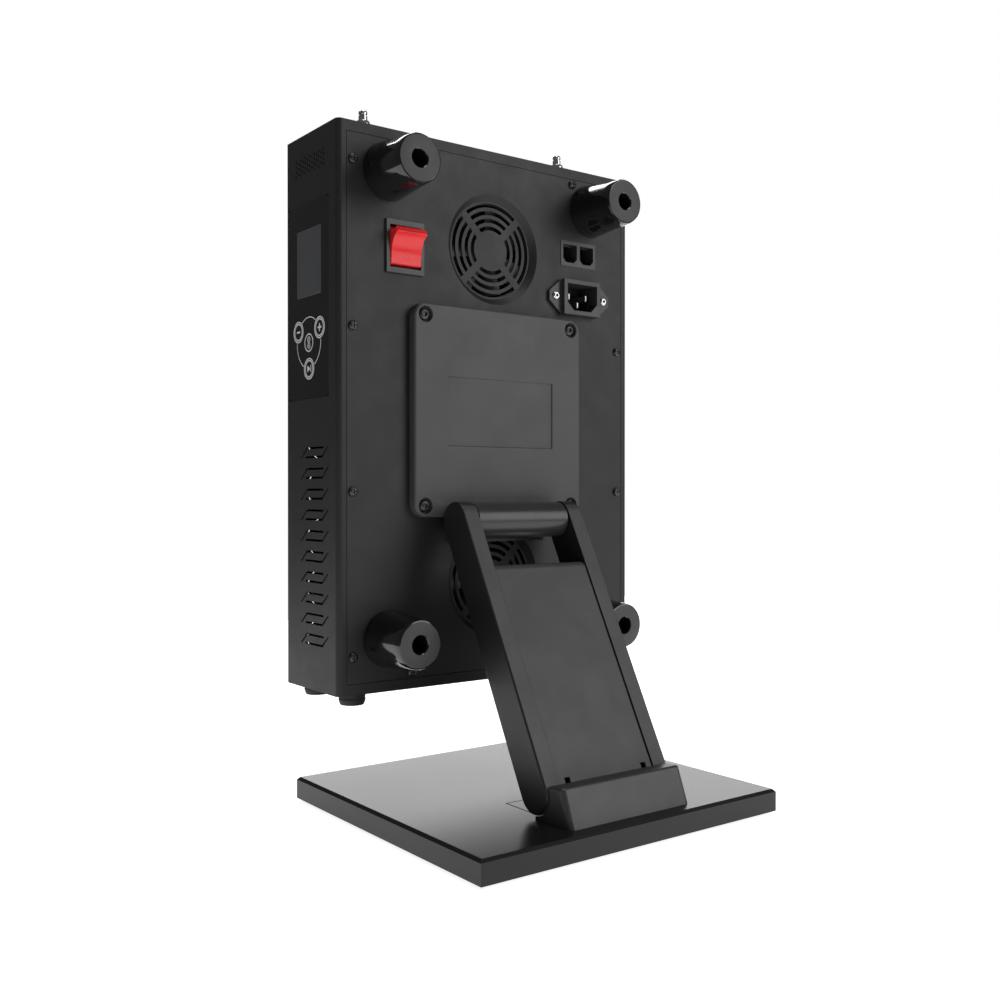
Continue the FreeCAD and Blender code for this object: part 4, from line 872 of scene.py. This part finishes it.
def buildGrippers():
    # a barrel with two grooves and a chamfered crown over a wrench collar, and a domed plunger
    radius, tall = gripper["radius"], gripper["tall"]
    out, pin = gripper["out"], gripper["plunger"]
    stud, deep = gripper["stud"], gripper["plungerDeep"]
    for side in ("left", "right"):
        node = "hanger_socket_" + side
        centre = middle(node)
        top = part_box("housing_shell")[1].z
        barrel = turned("gripperBarrel_" + side, [
            (stud, -gripper["studDeep"]), (stud, 0), (radius, 0), (radius, 0.24 * tall),
            (0.93 * radius, 0.27 * tall), (0.93 * radius, 0.3 * tall), (radius, 0.33 * tall),
            (radius, 0.58 * tall), (0.93 * radius, 0.61 * tall), (0.93 * radius, 0.64 * tall),
            (radius, 0.67 * tall), (radius, 0.9 * tall), (0.86 * radius, tall),
            (pin + 0.2, tall), (pin + 0.1, 0.8 * tall)], 48)
        barrel.location = (centre.x, centre.y, top)
        smoothed(settled(barrel), 35)
        paint(barrel, looks["polishedNickel"])
        fitted(barrel, "lamp_head", node)
        plunger = turned("gripperPlunger_" + side, [
            (pin * 0.9, -deep), (pin, 0.4 - deep), (pin, 0.45 * out), (0.84 * pin, 0.5 * out),
            (0.84 * pin, 0.56 * out), (pin, 0.61 * out), (pin, 0.78 * out),
            (0.86 * pin, 0.92 * out), (0.55 * pin, 0.99 * out), (0.2 * pin, out)], 40)
        plunger.location = (centre.x, centre.y, top + tall * mm)
        smoothed(settled(plunger), 50)
        paint(plunger, looks["polishedNickel"])
        fitted(plunger, side + "_plunger", "hanger_plunger_" + side)


buildLenses()
buildFans()
buildGrippers()
print("lenses, fans and grippers built")


# floor, light and camera

studio = {
    "cameraPlace": (0.39815, 0.50664, 0.18175), "cameraYaw": -36.665, "cameraPitch": -0.351,
    "lens": 39.95, "floorSize": 1.9, "floorColour": (0.9, 0.9, 0.9), "floorGlow": 0.86,
    "seenStrength": 1.0, "airStrength": 0.1,
}
# each is its place, the point that it faces, its width and height in metres, and its watts
softboxes = {
    "keySoftbox": ((-1.1, 1.5, 0.9), (0, 0, 0.2), 1.2, 1.4, 14),
    "overheadSoftbox": ((0, 0.2, 2), (0, 0, 0.2), 1, 1, 9),
    "farSoftbox": ((-1.1, -1.55, 0.55), (0, 0, 0.1), 2.2, 0.7, 11),
    "topStrip": ((-0.3, -1, 1.5), (0, 0, 0.3), 1.2, 0.25, 7),
}


def aimed(item, place, target):
    item.location = place
    item.rotation_euler = (Vector(target) - Vector(place)).to_track_quat("-Z", "Y").to_euler()
    return item


def softLight(name, place, target, width, height, power):
    light = bpy.data.lights.new(name, "AREA")
    light.shape = "RECTANGLE"
    light.size, light.size_y = width, height
    light.energy = power
    lamp = bpy.data.objects.new(name, light)
    bpy.context.scene.collection.objects.link(lamp)
    return aimed(lamp, place, target)


def makeFloor():
    deselectAll()
    bpy.ops.mesh.primitive_plane_add(size=studio["floorSize"], location=(0, 0, 0))
    floor = bpy.context.object
    floor.name = "studioFloor"
    material, tree, shader, place = newMaterial("paperFloor")
    tone = addNoise(tree, place, 3, 2)
    low = tuple(value * 0.98 for value in studio["floorColour"])
    tree.links.new(addRamp(tree, tone, low, studio["floorColour"]), shader.inputs["Base Color"])
    shader.inputs["Roughness"].default_value = 0.7
    shader.inputs["Emission Color"].default_value = (1, 1, 1, 1)
    shader.inputs["Emission Strength"].default_value = studio["floorGlow"]
    paint(floor, material)


def makeWorld():
    # a pale studio: white to look at, and dimmer as a light
    world = bpy.data.worlds.new("studioAir")
    bpy.context.scene.world = world
    world.use_nodes = True
    tree = world.node_tree
    seen = tree.nodes["Background"]
    seen.inputs["Color"].default_value = (1, 1, 1, 1)
    seen.inputs["Strength"].default_value = studio["seenStrength"]
    air = tree.nodes.new("ShaderNodeBackground")
    air.inputs["Color"].default_value = (1, 1, 1, 1)
    air.inputs["Strength"].default_value = studio["airStrength"]
    path = tree.nodes.new("ShaderNodeLightPath")
    mix = tree.nodes.new("ShaderNodeMixShader")
    tree.links.new(path.outputs["Is Camera Ray"], mix.inputs["Fac"])
    tree.links.new(air.outputs["Background"], mix.inputs[1])
    tree.links.new(seen.outputs["Background"], mix.inputs[2])
    tree.links.new(mix.outputs["Shader"], tree.nodes["World Output"].inputs["Surface"])


def makeCamera():
    yaw, pitch = math.radians(studio["cameraYaw"]), math.radians(studio["cameraPitch"])
    forward = Vector((math.sin(yaw) * math.cos(pitch), -math.cos(yaw) * math.cos(pitch),
                      math.sin(pitch)))
    eye = bpy.data.cameras.new("studioCamera")
    eye.lens = studio["lens"]
    eye.sensor_width = 36
    eye.clip_start = 0.01
    camera = bpy.data.objects.new("studioCamera", eye)
    bpy.context.scene.collection.objects.link(camera)
    place = Vector(studio["cameraPlace"])
    aimed(camera, place, place + forward)
    bpy.context.scene.camera = camera


makeFloor()
makeWorld()
makeCamera()
for name, values in softboxes.items():
    softLight(name, *values)
bpy.context.scene.view_settings.view_transform = "Standard"
print("studio ready")
